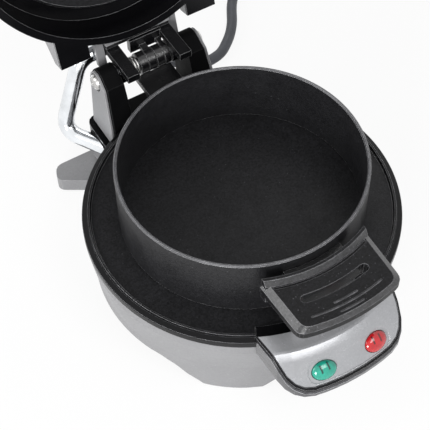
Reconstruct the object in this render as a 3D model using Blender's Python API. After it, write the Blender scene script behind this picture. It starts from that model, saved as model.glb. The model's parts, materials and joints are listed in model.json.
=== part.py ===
"""A countertop burger maker at its real size, in metres, with +Z up.

The floor is at Z = 0 and the cooking ring stands in front of the hinge. The
front, with the lamps and the handles, looks along -Y. The lid is modelled
closed and then turned back about the hinge, so that the part rests with the
lid open and the ring down on the lower plate.
"""

import math

import bmesh
import bpy
from mathutils import Matrix, Vector

# Fits shared by every sub-part
GAP = 0.0003
OVERRUN = 0.010
WELD_DISTANCE = 0.000002
LARGE_STEPS = 48
MEDIUM_STEPS = 24
SMALL_STEPS = 12
CORNER_STEPS = 4
SHARP_ANGLE = math.radians(32)

# Cooking ring and the plate that it stands on
RING_RADIUS = 0.068
RING_WALL = 0.002
RING_HEIGHT = 0.0394
RING_EDGE = 0.0006
PLATE_TOP = 0.057
PLATE_THICKNESS = 0.0026
PLATE_MARGIN = 0.017
PLATE_LIP_HEIGHT = 0.0021
PLATE_LIP_WIDTH = 0.0011
PLATE_LIP_SLOPE = 0.0007
NOTCH_DEPTH = 0.0062
NOTCH_HALF_ANGLE = math.radians(27)
RING_TOP = PLATE_TOP + RING_HEIGHT
PLATE_RADIUS = RING_RADIUS + PLATE_MARGIN

# Top cover: the black rim round the plate and the deck behind it
RIM_WIDTH = 0.0031
RIM_RISE = 0.0009
RIM_EDGE_WIDTH = 0.0007
RIM_EDGE_DROP = 0.0008
RIM_FALL = 0.0007
RIM_HEIGHT = 0.0049
RIM_LEDGE_WIDTH = 0.0045
RIM_LEDGE_THICKNESS = 0.0058
RIM_STEP = 0.0004
RIM_OVERHANG = 0.0011
DECK_DROP = 0.013
DECK_THICKNESS = 0.002
DECK_MARGIN = 0.0015
DECK_CORNER = 0.007
RIM_RADIUS = PLATE_RADIUS + GAP + RIM_WIDTH
RIM_CREST = PLATE_TOP + RIM_RISE
RIM_BOTTOM = RIM_CREST - RIM_HEIGHT
DECK_TOP = PLATE_TOP - DECK_DROP

# Base housing
HOUSING_WALL = 0.0022
HOUSING_BELLY_BULGE = 0.0002
HOUSING_WAIST_INSET = 0.0022
HOUSING_HEM_INSET = 0.0036
HOUSING_BELLY_DROP = 0.012
HOUSING_WAIST_HEIGHT = 0.026
HOUSING_BOTTOM = 0.001
HOUSING_TOP_RADIUS = RIM_RADIUS - RIM_OVERHANG
HOUSING_BELLY_RADIUS = HOUSING_TOP_RADIUS + HOUSING_BELLY_BULGE
HOUSING_WAIST_RADIUS = HOUSING_TOP_RADIUS - HOUSING_WAIST_INSET
HOUSING_HEM_RADIUS = HOUSING_TOP_RADIUS - HOUSING_HEM_INSET
HOUSING_BELLY_HEIGHT = PLATE_TOP - HOUSING_BELLY_DROP

# Hinge place, which the rear block, its feet and the lid follow
HINGE_SETBACK = 0.0161
HINGE_RISE = 0.022
OPEN_ANGLE = math.radians(105)
HINGE_Y = RIM_RADIUS + HINGE_SETBACK
HINGE_HEIGHT = PLATE_TOP + HINGE_RISE

# Rear block, scalloped hem and rear feet of the base
BLOCK_HALF_WIDTH = 0.039
BLOCK_BEHIND_HINGE = 0.006
BLOCK_BOTTOM = 0.002
ARCH_HEIGHT = 0.016
ARCH_SLOPE = 0.016
ARCH_ROUNDING = 0.0075
FRONT_ARCH_HALF_WIDTH = 0.026
SIDE_ARCH_HALF_WIDTH = 0.048
SIDE_ARCH_BEARING = math.radians(-178)
FOOT_TOP = 0.011
FOOT_BOTTOM = 0.0015
FOOT_SPREAD = 0.029
FOOT_BEHIND_HINGE = 0.010
FOOT_TIP_DEPTH = 0.0105
FOOT_ROOT_DEPTH = 0.0285
FOOT_CORNER = 0.009
BLOCK_REAR = HINGE_Y + BLOCK_BEHIND_HINGE
DECK_HALF_WIDTH = BLOCK_HALF_WIDTH + DECK_MARGIN
DECK_REAR = BLOCK_REAR + DECK_MARGIN
FOOT_HALF_SPAN = BLOCK_HALF_WIDTH + FOOT_SPREAD
FOOT_REAR = HINGE_Y + FOOT_BEHIND_HINGE

# Bottom cover, foot pads and screws
BOTTOM_COVER_MARGIN = 0.0012
BOTTOM_COVER_THICKNESS = 0.0025
PAD_RADIUS = 0.0075
PAD_HEIGHT = 0.0032
REAR_PAD_RADIUS = 0.0055
REAR_PAD_HEIGHT = 0.0012
REAR_PAD_SIDE_INSET = 0.011
REAR_PAD_REAR_INSET = 0.009
FRONT_LEG_RADIUS = 0.008
FRONT_LEG_OUTREACH = 0.0055
FRONT_LEG_BEARING = math.radians(53)
COVER_SCREWS = 3
COVER_SCREW_RADIUS = 0.003
COVER_SCREW_HEAD = 0.0016
COVER_SCREW_INREACH = 0.008
BOTTOM_COVER_HEIGHT = ARCH_HEIGHT + BOTTOM_COVER_MARGIN
FRONT_LEG_REACH = RING_RADIUS + FRONT_LEG_OUTREACH
COVER_SCREW_REACH = RING_RADIUS - COVER_SCREW_INREACH

# Heating parts
ELEMENT_RADIUS = 0.0033
ELEMENT_INREACH = 0.016
ELEMENT_OPENING = math.radians(36)
ELEMENT_TAIL = 0.016
ELEMENT_ELBOW_SHARE = 0.25
SHIELD_THICKNESS = 0.0008
SHIELD_DEPTH = 0.0058
SHIELD_OUTREACH = 0.001
SHIELD_FLARE = 0.006
THERMOSTAT_RADIUS = 0.008
THERMOSTAT_HEIGHT = 0.0095
LID_THERMOSTAT_HEIGHT = 0.006
FUSE_RADIUS = 0.0032
FUSE_LENGTH = 0.018
FUSE_REACH = 0.03
TERMINAL_BLOCK_SIZE = (0.03, 0.014, 0.011)
TERMINAL_BLOCK_INREACH = 0.008
ELEMENT_LOOP_RADIUS = RING_RADIUS - ELEMENT_INREACH
SHIELD_FLOOR_RADIUS = RING_RADIUS + SHIELD_OUTREACH
TERMINAL_BLOCK_Y = RING_RADIUS - TERMINAL_BLOCK_INREACH

# Front handle of the base: smoked body, black trim and silver fascia
BODY_REACH = 0.0248
BODY_REAR_HALF_WIDTH = 0.042
BODY_FRONT_HALF_WIDTH = 0.0362
BODY_CORNER = 0.0125
BODY_REAR_DROP = 0.0095
BODY_FRONT_DEPTH = 0.0042
BODY_DEPTH = 0.0065
BODY_BOX_INSET = 0.003
BODY_BOX_TAPER = 0.005
BODY_BOX_RISE = 0.008
BODY_WALL = 0.0022
PANEL_OVERLAP = 0.0018
PANEL_REAR_RISE = 0.003
PANEL_CREASE_REACH = 0.0088
PANEL_CREASE_RISE = 0.0007
PANEL_KNEE_REACH = 0.013
PANEL_KNEE_DROP = 0.0024
PANEL_FRONT_DROP = 0.0165
PANEL_THICKNESS = 0.0016
PANEL_ROUNDING = 0.0014
PANEL_HALF_ANGLE = math.radians(34)
TRIM_WIDTH = 0.0011
TRIM_INSET = 0.0006
TRIM_RAISE = 0.0002
BODY_REAR_RADIUS = RIM_RADIUS + GAP
BODY_FRONT_RADIUS = BODY_REAR_RADIUS + BODY_REACH
PANEL_REAR_RADIUS = RIM_RADIUS - PANEL_OVERLAP
PANEL_FRONT_TOP = PLATE_TOP - PANEL_FRONT_DROP
BODY_BOTTOM = PANEL_FRONT_TOP - BODY_DEPTH

# Lamps in the fascia
LENS_HALF_LENGTH = 0.0068
LENS_HALF_WIDTH = 0.0051
LENS_DOME = 0.0024
LENS_DEPTH = 0.0058
LENS_WALL = 0.001
LENS_HALF_SPACING = 0.0161
LENS_REACH = 0.0187
RECESS_DEPTH = 0.0004
RECESS_MARGIN = 0.0009
RECESS_HALF_WIDTH = 0.0213
LAMP_RADIUS = 0.0019
LAMP_LENGTH = 0.0088
LAMP_DROP = 0.0023
LAMP_LEG = 0.0014
HOLDER_HALF_ANGLE = math.radians(13)
HOLDER_HALF_WIDTH = 0.003
HOLDER_THICKNESS = 0.0014
LENS_RADIUS = RIM_RADIUS + LENS_REACH

# Hinge posts, shaft, knuckles and spring
SHAFT_RADIUS = 0.004
POST_INNER_X = 0.0212
POST_THICKNESS = 0.011
POST_SPREAD = 0.003
POST_BARREL_RADIUS = 0.0075
POST_BARREL_START = math.radians(-25)
POST_BARREL_SWEEP = math.radians(145)
POST_FRONT_DEPTH = 0.0113
POST_FRONT_RISE = 0.002
POST_FRONT_SLOPE = 0.33
POST_REAR_DEPTH = 0.0045
POST_COVER_THICKNESS = 0.0015
POST_COVER_MARGIN = 0.0008
POCKET_RADIUS = 0.0056
POCKET_DEPTH = 0.0027
NUT_RADIUS = 0.005
NUT_THICKNESS = 0.002
NUT_HOLE_RADIUS = 0.0012
KNUCKLE_RADIUS = 0.0065
KNUCKLE_WIDTH = 0.005
SPRING_LENGTH = 0.0061
SPRING_WIRE_RADIUS = 0.00065
SPRING_RADIUS = 0.0053
SPRING_PITCH = 0.00175
SPRING_POINTS_PER_TURN = 12
POST_OUTER_X = POST_INNER_X + POST_THICKNESS
SHAFT_HALF_LENGTH = POST_OUTER_X - POCKET_DEPTH - GAP
POST_FRONT_TOP_Y = HINGE_Y - POST_FRONT_DEPTH
POST_FRONT_TOP_HEIGHT = HINGE_HEIGHT + POST_FRONT_RISE
POST_REAR_Y = HINGE_Y + POST_REAR_DEPTH

# Ring bracket
BRACKET_HALF_WIDTH = 0.0115
BRACKET_DROP = 0.0022
BRACKET_THICKNESS = 0.0036
BRACKET_FLANGE = 0.0028
BRACKET_FLANGE_DROP = 0.013
RIVET_RADIUS = 0.0028
RIVET_HEAD = 0.0012
RIVET_X = 0.006
BRACKET_TOP = HINGE_HEIGHT - BRACKET_DROP

# Ring handle with its raised rear block, slot, groove and ridges
HANDLE_STANDOFF = 0.006
HANDLE_LENGTH = 0.032
HANDLE_RISE = 0.0345
HANDLE_THICKNESS = 0.0088
HANDLE_REAR_HALF_WIDTH = 0.0318
HANDLE_FRONT_HALF_WIDTH = 0.0308
HANDLE_CORNER = 0.0045
HANDLE_SIDE_CHAMFER = 0.0034
HANDLE_FRONT_CHAMFER = 0.0018
HANDLE_CHAMFER_DROP = 0.0028
HANDLE_UNDERCUT = 0.0012
HANDLE_UNDERCUT_RISE = 0.002
LIP_RISE = 0.003
LIP_DEPTH = 0.0043
LIP_TOP_LENGTH = 0.0018
LIP_LENGTH = 0.0038
LIP_SIDE_INSET = 0.0011
SLOT_INREACH = 0.0174
SLOT_HALF_WIDTH = 0.0177
SLOT_WIDTH = 0.0046
GROOVE_WIDTH = 0.0016
GROOVE_HALF_WIDTH = 0.0268
GROOVE_DEPTH = 0.0008
RIDGE_WIDTH = 0.0007
RIDGE_HEIGHT = 0.0004
RIDGE_INREACH = 0.0038
RIDGE_SPACING = 0.0029
RIDGE_SHORT_HALF_WIDTH = 0.0066
RIDGE_LONG_HALF_WIDTH = 0.0205
STEM_HALF_WIDTH = 0.017
STEM_TONGUE_HALF_WIDTH = 0.014
STEM_TONGUE_REACH = 0.0185
STEM_TONGUE_THICKNESS = 0.002
STEM_INSET = 0.003
STEM_SCREW_X = 0.009
STEM_SCREW_REACH = 0.0140
STEM_SCREW_RADIUS = 0.0025
STEM_SCREW_HEAD = 0.0015
HANDLE_INNER_RADIUS = RING_RADIUS + HANDLE_STANDOFF
HANDLE_OUTER_RADIUS = HANDLE_INNER_RADIUS + HANDLE_LENGTH
HANDLE_TOP = PLATE_TOP + HANDLE_RISE
HANDLE_BOTTOM = HANDLE_TOP - HANDLE_THICKNESS
SLOT_RADIUS = HANDLE_OUTER_RADIUS - SLOT_INREACH

# Lid, in its closed place
LID_HEADROOM = 0.003
LID_SIDE_INSET = 0.0004
LID_RIM_THICKNESS = 0.002
LID_RIM_WIDTH = 0.0045
LID_WALL = 0.0022
LID_BELLY_BULGE = 0.0006
LID_BELLY_RISE = 0.006
LID_SHOULDER_RISE = 0.0315
LID_SHOULDER_INSET = 0.0106
LID_RISE = 0.0405
LID_CROWN_INSET = 0.028
LID_CROWN_DROP = 0.0012
LID_SHOULDER_SWEEP = math.radians(60)
RING_HEADROOM = 0.0006
UPPER_PLATE_OUTREACH = 0.004
UPPER_PLATE_THICKNESS = 0.0037
UPPER_PLATE_BEVEL = 0.0015
RECESS_FLANGE_THICKNESS = 0.0015
RECESS_FLANGE_INREACH = 0.002
RECESS_WALL = 0.0015
RECESS_TAPER = 0.003
HANDLE_NOTCH_MARGIN = 0.0024
HANDLE_NOTCH_HEADROOM = 0.0012
LUG_INNER_X = 0.0318
LUG_OUTER_X = 0.0505
LUG_LENGTH = 0.030
LUG_OFFSET = 0.0145
LUG_END_THICKNESS = 0.0065
GUSSET_MARGIN = 0.0005
GUSSET_THICKNESS = 0.0053
GUSSET_OFFSET = 0.003
GUSSET_RISE = 0.0058
GUSSET_HEIGHT = 0.003
PAD_HALF_WIDTH = 0.0208
PAD_OFFSET = 0.0157
PAD_RISE = 0.022
LID_HANDLE_LENGTH = 0.0274
LID_HANDLE_INNER_HALF_WIDTH = 0.030
LID_HANDLE_OUTER_HALF_WIDTH = 0.027
LID_HANDLE_RISE = 0.0135
LID_HANDLE_THICKNESS = 0.011
LID_HANDLE_CORNER = 0.006
LID_HANDLE_CHAMFER = 0.0025
LID_RIM_BOTTOM = HINGE_HEIGHT + LID_HEADROOM
LID_RIM_RADIUS = RIM_RADIUS - LID_SIDE_INSET
LID_BELLY_RADIUS = LID_RIM_RADIUS + LID_BELLY_BULGE
LID_BELLY_HEIGHT = LID_RIM_BOTTOM + LID_BELLY_RISE
LID_SHOULDER_RADIUS = LID_BELLY_RADIUS - LID_SHOULDER_INSET
LID_SHOULDER_HEIGHT = LID_RIM_BOTTOM + LID_SHOULDER_RISE
LID_CROWN_RADIUS = LID_SHOULDER_RADIUS - LID_CROWN_INSET
LID_TOP = LID_RIM_BOTTOM + LID_RISE
UPPER_PLATE_BOTTOM = RING_TOP + RING_HEADROOM
UPPER_PLATE_RADIUS = RING_RADIUS + UPPER_PLATE_OUTREACH
RECESS_CEILING = UPPER_PLATE_BOTTOM + UPPER_PLATE_THICKNESS + GAP
RECESS_FLANGE_RADIUS = RING_RADIUS - RECESS_FLANGE_INREACH
LUG_END = HINGE_Y - LUG_OFFSET
LUG_START = LUG_END - LUG_LENGTH
PAD_FACE_Y = HINGE_Y - PAD_OFFSET
LID_HANDLE_INNER_RADIUS = LID_BELLY_RADIUS
LID_HANDLE_OUTER_RADIUS = LID_HANDLE_INNER_RADIUS + LID_HANDLE_LENGTH
LID_HANDLE_BOTTOM = LID_RIM_BOTTOM + LID_HANDLE_RISE
LID_HANDLE_TOP = LID_HANDLE_BOTTOM + LID_HANDLE_THICKNESS

# Lid bracket, in its open place, measured from the hinge axis
ARM_INNER_X = 0.0131
ARM_OUTER_X = 0.0207
ARM_HEIGHTS = (0.0065, 0.011)
ARM_FRONT = -0.0165
ARM_REAR = 0.015
EYE_RADIUS = 0.0069
EYE_STEP = 0.0004
WEB_OFFSETS = (0.0133, 0.0153)
WEB_DEPTHS = (0.006, 0.0235)
WEB_HALF_WIDTH = 0.0205
NECK_DEPTHS = (0.0, 0.0085)
NECK_HEIGHTS = (0.003, 0.0062)
BACK_PLATE_DEPTHS = (0.0073, 0.011)
BACK_PLATE_HEIGHTS = (0.0028, 0.0117)
WEB_SCREW_RADIUS = 0.0026
WEB_SCREW_HEAD = 0.0014
WEB_SCREW_DEPTH = 0.0125
WEB_SCREW_X = 0.0064
KNUCKLE_START = SPRING_LENGTH + GAP - ARM_INNER_X

# Bent conduit that carries the lid's wires out of the left side of the base
CONDUIT_RADIUS = 0.005
CONDUIT_DROP = 0.0078
CONDUIT_ENTRY_INSET = 0.0044
CONDUIT_ENTRY_DEPTH = -0.0182
CONDUIT_LOW_REACH = 0.0148
CONDUIT_LOW_DEPTH = 0.013
CONDUIT_HIGH_X = 0.0339
CONDUIT_HIGH_DEPTH = 0.019
CONDUIT_HIGH_RISE = 0.0027
CONDUIT_END_X = 0.0225
CONDUIT_LOW_BEND = 0.012
CONDUIT_HIGH_BEND = 0.0085
CONDUIT_BEND_STEPS = 6
BUSHING_RADIUS = 0.0044
BUSHING_LENGTH = 0.006
GROMMET_THICKNESS = 0.0016
GROMMET_HALF_HEIGHT = 0.0068
GROMMET_HALF_LENGTH = 0.0123
GROMMET_CORNER = 0.005
HOLE_CLEARANCE = 0.0004

# Mains lead
CORD_RADIUS = 0.00355
CORD_SIDE_RESOLUTION = 2
CORD_STEP = 0.009
CORD_LIFT = 0.0001
RELIEF_X = 0.027
RELIEF_HEIGHT = 0.020
RELIEF_LENGTH = 0.026
RELIEF_ROOT_RADIUS = 0.0062
RELIEF_TIP_RADIUS = 0.0046
RELIEF_COLLAR_RADIUS = 0.0085
RELIEF_COLLAR_THICKNESS = 0.002
CORD_REST = CORD_RADIUS + CORD_LIFT
CORD_BENDS = (
    (0.0035, 0.0154, 0.0165),
    (0.0130, 0.0184, 0.0100),
    (0.0250, 0.0144, 0.0048),
    (0.0360, 0.0102, CORD_REST),
    (0.0440, 0.0104, CORD_REST),
    (0.0505, 0.0126, CORD_REST),
    (0.0570, 0.0174, CORD_REST),
    (0.0639, 0.0238, CORD_REST),
    (0.0710, 0.0329, CORD_REST),
    (0.0810, 0.0489, CORD_REST),
    (0.0980, 0.0679, CORD_REST),
    (0.1140, 0.0879, CORD_REST),
)
COIL_OFFSET = (0.077, 0.1249)
COIL_RADIUS = 0.039
COIL_TURNS_PER_LAYER = 1.25
COIL_PITCH = 0.0081
COIL_LAYER_RISE = 0.0079
COIL_POINTS_PER_TURN = 24
COIL_SIDE_RESOLUTION = 1
PLUG_LENGTH = 0.034
PLUG_RADIUS = 0.0125
PLUG_SHOULDER_RADIUS = 0.0106
PLUG_NECK_RADIUS = 0.0055
PLUG_NECK_LENGTH = 0.0113
PLUG_SHOULDER_LENGTH = 0.017
PLUG_FLATNESS = 0.78
PIN_SPACING = 0.0127
PIN_SIZE = (0.0015, 0.0163, 0.0063)
TIE_WIDTH = 0.006
TIE_THICKNESS = 0.0008
TIE_MARGIN = 0.0006
CORD_EXIT_Y = BLOCK_REAR + RELIEF_LENGTH + GAP * 2
COIL_CENTRE = (RELIEF_X + COIL_OFFSET[0], CORD_EXIT_Y + COIL_OFFSET[1])


def clear_scene():
    """Removes every object that the file starts with."""
    for obj in list(bpy.data.objects):
        bpy.data.objects.remove(obj, do_unlink=True)


def make_material(name, colour, roughness, metallic):
    """A Principled material of one colour."""
    material = bpy.data.materials.new(name)
    material.use_nodes = True
    shader = material.node_tree.nodes["Principled BSDF"]
    shader.inputs["Base Color"].default_value = (*colour, 1.0)
    shader.inputs["Roughness"].default_value = roughness
    shader.inputs["Metallic"].default_value = metallic
    material.diffuse_color = (*colour, 1.0)
    return material


def mesh_object(name, mesh_data):
    """An object of this bmesh, with its faces out and its edges shaded."""
    bmesh.ops.recalc_face_normals(mesh_data, faces=mesh_data.faces)
    if mesh_data.calc_volume(signed=True) < 0:
        bmesh.ops.reverse_faces(mesh_data, faces=mesh_data.faces)
    mesh = bpy.data.meshes.new(name)
    mesh_data.to_mesh(mesh)
    mesh_data.free()
    obj = bpy.data.objects.new(name, mesh)
    bpy.context.scene.collection.objects.link(obj)
    return obj


def shade(obj):
    """Smooth shading that stays sharp at the real edges."""
    obj.data.shade_smooth()
    obj.data.set_sharp_from_angle(angle=SHARP_ANGLE)


def turned(name, profile, steps):
    """A body turned about Z from a closed profile of (radius, height) points."""
    data = bmesh.new()
    rings = []
    for radius, height in profile:
        if radius == 0:
            rings.append([data.verts.new((0, 0, height))])
            continue
        ring = []
        for step in range(steps):
            angle = math.tau * step / steps
            ring.append(data.verts.new((radius * math.cos(angle), radius * math.sin(angle), height)))
        rings.append(ring)
    for ring, following in zip(rings, rings[1:] + rings[:1]):
        bridge(data, ring, following, steps)
    return mesh_object(name, data)


def bridge(data, ring, following, steps):
    """Joins two rings of a turned body, of which either may be one point."""
    if len(ring) == 1 and len(following) == 1:
        return
    for step in range(steps):
        after = (step + 1) % steps
        if len(ring) == 1:
            data.faces.new((ring[0], following[step], following[after]))
        elif len(following) == 1:
            data.faces.new((ring[step], ring[after], following[0]))
        else:
            data.faces.new((ring[step], ring[after], following[after], following[step]))


def front_sweep(name, profile, half_angle):
    """A body with this (radius, height) section, swept about the ring's axis across the front."""
    data = bmesh.new()
    loops = []
    for step in range(SMALL_STEPS + 1):
        bearing = half_angle * (2 * step / SMALL_STEPS - 1)
        loop = []
        for radius, height in profile:
            loop.append(data.verts.new((radius * math.sin(bearing), -radius * math.cos(bearing), height)))
        loops.append(loop)
    for near, far in zip(loops, loops[1:]):
        bridge(data, near, far, len(profile))
    data.faces.new(loops[0])
    data.faces.new(loops[-1])
    return mesh_object(name, data)


def stacked(name, levels):
    """A body through outlines of equally many points, each at its own height."""
    data = bmesh.new()
    loops = []
    for outline, height in levels:
        loops.append([data.verts.new((point[0], point[1], height)) for point in outline])
    count = len(loops[0])
    for low, high in zip(loops, loops[1:]):
        for step in range(count):
            after = (step + 1) % count
            data.faces.new((low[step], low[after], high[after], high[step]))
    data.faces.new(loops[0])
    data.faces.new(loops[-1])
    return mesh_object(name, data)


def prism(name, outline, bottom, top):
    """A straight prism on an outline of (x, y) points."""
    return stacked(name, [(outline, bottom), (outline, top)])


def prism_along_x(name, outline, start, end):
    """A straight prism along X on an outline of (y, z) points."""
    obj = prism(name, outline, start, end)
    turn = Matrix(((0, 0, 1, 0), (1, 0, 0, 0), (0, 1, 0, 0), (0, 0, 0, 1)))
    obj.data.transform(turn)
    return obj


def block(name, low, high):
    """A box between two corners."""
    outline = [(low[0], low[1]), (high[0], low[1]), (high[0], high[1]), (low[0], high[1])]
    return prism(name, outline, low[2], high[2])


def rod(name, radius, start, end, steps):
    """A cylinder between two points."""
    start = Vector(start)
    axis = Vector(end) - start
    obj = turned(name, [(0, 0), (radius, 0), (radius, axis.length), (0, axis.length)], steps)
    turn = axis.to_track_quat("Z", "Y").to_matrix().to_4x4()
    obj.data.transform(Matrix.Translation(start) @ turn)
    return obj


def weld(mesh):
    """Merges the points that a Boolean leaves on top of each other."""
    data = bmesh.new()
    data.from_mesh(mesh)
    bmesh.ops.remove_doubles(data, verts=data.verts, dist=WELD_DISTANCE)
    bmesh.ops.dissolve_degenerate(data, edges=data.edges, dist=WELD_DISTANCE)
    data.to_mesh(mesh)
    data.free()


def boolean(target, other, operation):
    """Cuts, joins or intersects the target with the other body, which is used up."""
    modifier = target.modifiers.new(operation.lower(), "BOOLEAN")
    modifier.operation = operation
    modifier.solver = "EXACT"
    modifier.object = other
    graph = bpy.context.evaluated_depsgraph_get()
    result = bpy.data.meshes.new_from_object(target.evaluated_get(graph), depsgraph=graph)
    weld(result)
    target.modifiers.clear()
    before = target.data
    target.data = result
    result.name = target.name
    bpy.data.meshes.remove(before)
    bpy.data.objects.remove(other, do_unlink=True)
    return target


def cut(target, *others):
    """Takes the other bodies out of the target."""
    for other in others:
        boolean(target, other, "DIFFERENCE")
    return target


def join(target, *others):
    """Adds the other bodies to the target."""
    for other in others:
        boolean(target, other, "UNION")
    return target


def keep_common(target, other):
    """Keeps what the target shares with the other body."""
    return boolean(target, other, "INTERSECT")


def finish(obj, parent, material):
    """Gives a body its shading, material and parent."""
    if obj.type == "MESH":
        shade(obj)
    obj.data.materials.clear()
    obj.data.materials.append(material)
    obj.parent = parent
    return obj


def walk(path, corner, reach, direction):
    """The point this far along a closed path from its corner, and the points passed."""
    count = len(path)
    passed = []
    left = reach
    here = corner
    while True:
        beyond = (here + direction) % count
        step = path[beyond] - path[here]
        if step.length >= left:
            return path[here] + step * (left / step.length), passed
        left -= step.length
        here = beyond
        passed.append(here)


def soften(path, corners, reach, steps=CORNER_STEPS):
    """A closed path whose named corners are rounded over this reach."""
    rounded = {}
    dropped = set()
    for corner in corners:
        before, passed_before = walk(path, corner, reach, -1)
        after, passed_after = walk(path, corner, reach, 1)
        dropped.update(passed_before, passed_after)
        middle = path[corner]
        curve = []
        for step in range(steps + 1):
            share = step / steps
            curve.append(before.lerp(middle, share).lerp(middle.lerp(after, share), share))
        rounded[corner] = curve
    result = []
    for index, point in enumerate(path):
        if index in rounded:
            result.extend(rounded[index])
        elif index not in dropped:
            result.append(point)
    return result


def spaced_out(path):
    """A closed path without the points that come too near to the one before them."""
    kept = []
    for index, point in enumerate(path):
        if (point - path[index - 1]).length > GAP:
            kept.append(point)
    return kept


def bowed_line(radius, start_x, end_x, steps):
    """Points on a circle round the ring's axis, in front of it, between two X places."""
    points = []
    for step in range(steps + 1):
        x = start_x + (end_x - start_x) * step / steps
        points.append(Vector((x, -math.sqrt(radius**2 - x**2))))
    return points


def front_sector(inner_radius, outer_radius, inner_half_width, outer_half_width):
    """A grip in front of the ring: the path of two arcs and two straight sides, and its corners."""
    inner = bowed_line(inner_radius, -inner_half_width, inner_half_width, SMALL_STEPS)
    outer = bowed_line(outer_radius, outer_half_width, -outer_half_width, SMALL_STEPS)
    path = inner + outer
    return path, (0, len(inner) - 1, len(inner), len(path) - 1)


def inset(outline, amount):
    """The outline moved inwards by this amount, point by point."""
    count = len(outline)
    area = sum(outline[step - 1].cross(outline[step]) for step in range(count))
    turn = math.copysign(1, area)
    moved = []
    for step in range(count):
        before = (outline[step] - outline[step - 1]).normalized()
        after = (outline[(step + 1) % count] - outline[step]).normalized()
        normal = Vector((-before.y - after.y, before.x + after.x)) * turn
        moved.append(outline[step] + normal * (amount * 2 / normal.length_squared))
    return moved


def arc_slot(radius, half_width, width):
    """The outline of a curved slot with round ends, in front of the ring."""
    bearing = math.asin(half_width / radius)
    path = []
    for side, start in ((1, -bearing), (-1, bearing)):
        edge = radius + side * width / 2
        for step in range(SMALL_STEPS + 1):
            angle = start - 2 * start * step / SMALL_STEPS
            path.append(Vector((edge * math.sin(angle), -edge * math.cos(angle))))
        end = -start
        middle = Vector((radius * math.sin(end), -radius * math.cos(end)))
        for step in range(1, CORNER_STEPS):
            turn = math.pi * step / CORNER_STEPS
            outward = side * math.cos(turn) * width / 2
            past = math.copysign(math.sin(turn) * width / 2, end)
            radial = Vector((math.sin(end), -math.cos(end)))
            across = Vector((math.cos(end), math.sin(end)))
            path.append(middle + radial * outward + across * past)
    return path


def mirrored(points):
    """Outline points on the other side of the middle plane."""
    return [Vector((-point[0], point[1])) for point in reversed(points)]


def curve_tube(name, points, radius, resolution):
    """A tube with filled ends along a list of points."""
    curve = bpy.data.curves.new(name, "CURVE")
    curve.dimensions = "3D"
    curve.bevel_depth = radius
    curve.bevel_resolution = resolution
    curve.use_fill_caps = True
    spline = curve.splines.new("POLY")
    spline.points.add(len(points) - 1)
    for target, point in zip(spline.points, points):
        target.co = (*point, 1.0)
    obj = bpy.data.objects.new(name, curve)
    bpy.context.scene.collection.objects.link(obj)
    return obj


def tube_mesh(name, points, radius, sides):
    """A mesh tube with flat ends along points, with no twist from point to point."""
    data = bmesh.new()
    rings = []
    side = None
    for index, point in enumerate(points):
        before = points[max(index - 1, 0)]
        after = points[min(index + 1, len(points) - 1)]
        tangent = (after - before).normalized()
        if side is None:
            side = tangent.orthogonal().normalized()
        side = (side - tangent * side.dot(tangent)).normalized()
        other = tangent.cross(side)
        ring = []
        for step in range(sides):
            angle = math.tau * step / sides
            ring.append(data.verts.new(point + (side * math.cos(angle) + other * math.sin(angle)) * radius))
        rings.append(ring)
    for ring, following in zip(rings, rings[1:]):
        bridge(data, ring, following, sides)
    data.faces.new(rings[0])
    data.faces.new(rings[-1])
    return mesh_object(name, data)


def round_corner(before, corner, after, reach, steps):
    """Points on a curve that rounds one corner of a line over this reach."""
    start = corner + (before - corner).normalized() * reach
    end = corner + (after - corner).normalized() * reach
    points = []
    for step in range(steps + 1):
        share = step / steps
        points.append(start.lerp(corner, share).lerp(corner.lerp(end, share), share))
    return points


def rounded_path(corners, reaches, steps):
    """An open 3-D path whose inner corners are rounded, each over its own reach."""
    points = [corners[0]]
    for before, corner, after, reach in zip(corners, corners[1:], corners[2:], reaches):
        points.extend(round_corner(before, corner, after, reach, steps))
    points.append(corners[-1])
    return points


def smooth_route(route, step):
    """Evenly spaced points on a smooth curve through the route's own points."""
    fine = []
    ends = [route[0] * 2 - route[1], *route, route[-1] * 2 - route[-2]]
    for a, b, c, d in zip(ends, ends[1:], ends[2:], ends[3:]):
        for part in range(SMALL_STEPS):
            t = part / SMALL_STEPS
            rise = (c - a) * t + (a * 2 - b * 5 + c * 4 - d) * t**2 + (b * 3 - a - c * 3 + d) * t**3
            fine.append(b + rise / 2)
    fine.append(route[-1])
    total = sum((after - before).length for before, after in zip(fine, fine[1:]))
    count = max(2, round(total / step))
    points = [fine[0]]
    passed = 0
    for before, after in zip(fine, fine[1:]):
        length = (after - before).length
        while len(points) < count and passed + length >= total * len(points) / count:
            share = (total * len(points) / count - passed) / length
            points.append(before.lerp(after, share))
        passed += length
    points.append(fine[-1])
    return points


def housing_radius(height):
    """The outer radius of the base housing at this height above the floor."""
    points = (
        (HOUSING_BOTTOM, HOUSING_HEM_RADIUS),
        (HOUSING_WAIST_HEIGHT, HOUSING_WAIST_RADIUS),
        (HOUSING_BELLY_HEIGHT, HOUSING_BELLY_RADIUS),
        (RIM_BOTTOM - GAP, HOUSING_TOP_RADIUS),
    )
    for (low, low_radius), (high, high_radius) in zip(points, points[1:]):
        if height <= high:
            return low_radius + (high_radius - low_radius) * (height - low) / (high - low)
    return HOUSING_TOP_RADIUS


def housing_profile(offset, bottom, top):
    """Half of the housing's section, this far inside its outer face."""
    heights = (bottom, HOUSING_WAIST_HEIGHT, HOUSING_BELLY_HEIGHT, top)
    radii = (HOUSING_HEM_RADIUS, HOUSING_WAIST_RADIUS, HOUSING_BELLY_RADIUS, HOUSING_TOP_RADIUS)
    side = [(radius - offset, height) for radius, height in zip(radii, heights)]
    return [(0, bottom), *side, (0, top)]


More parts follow.
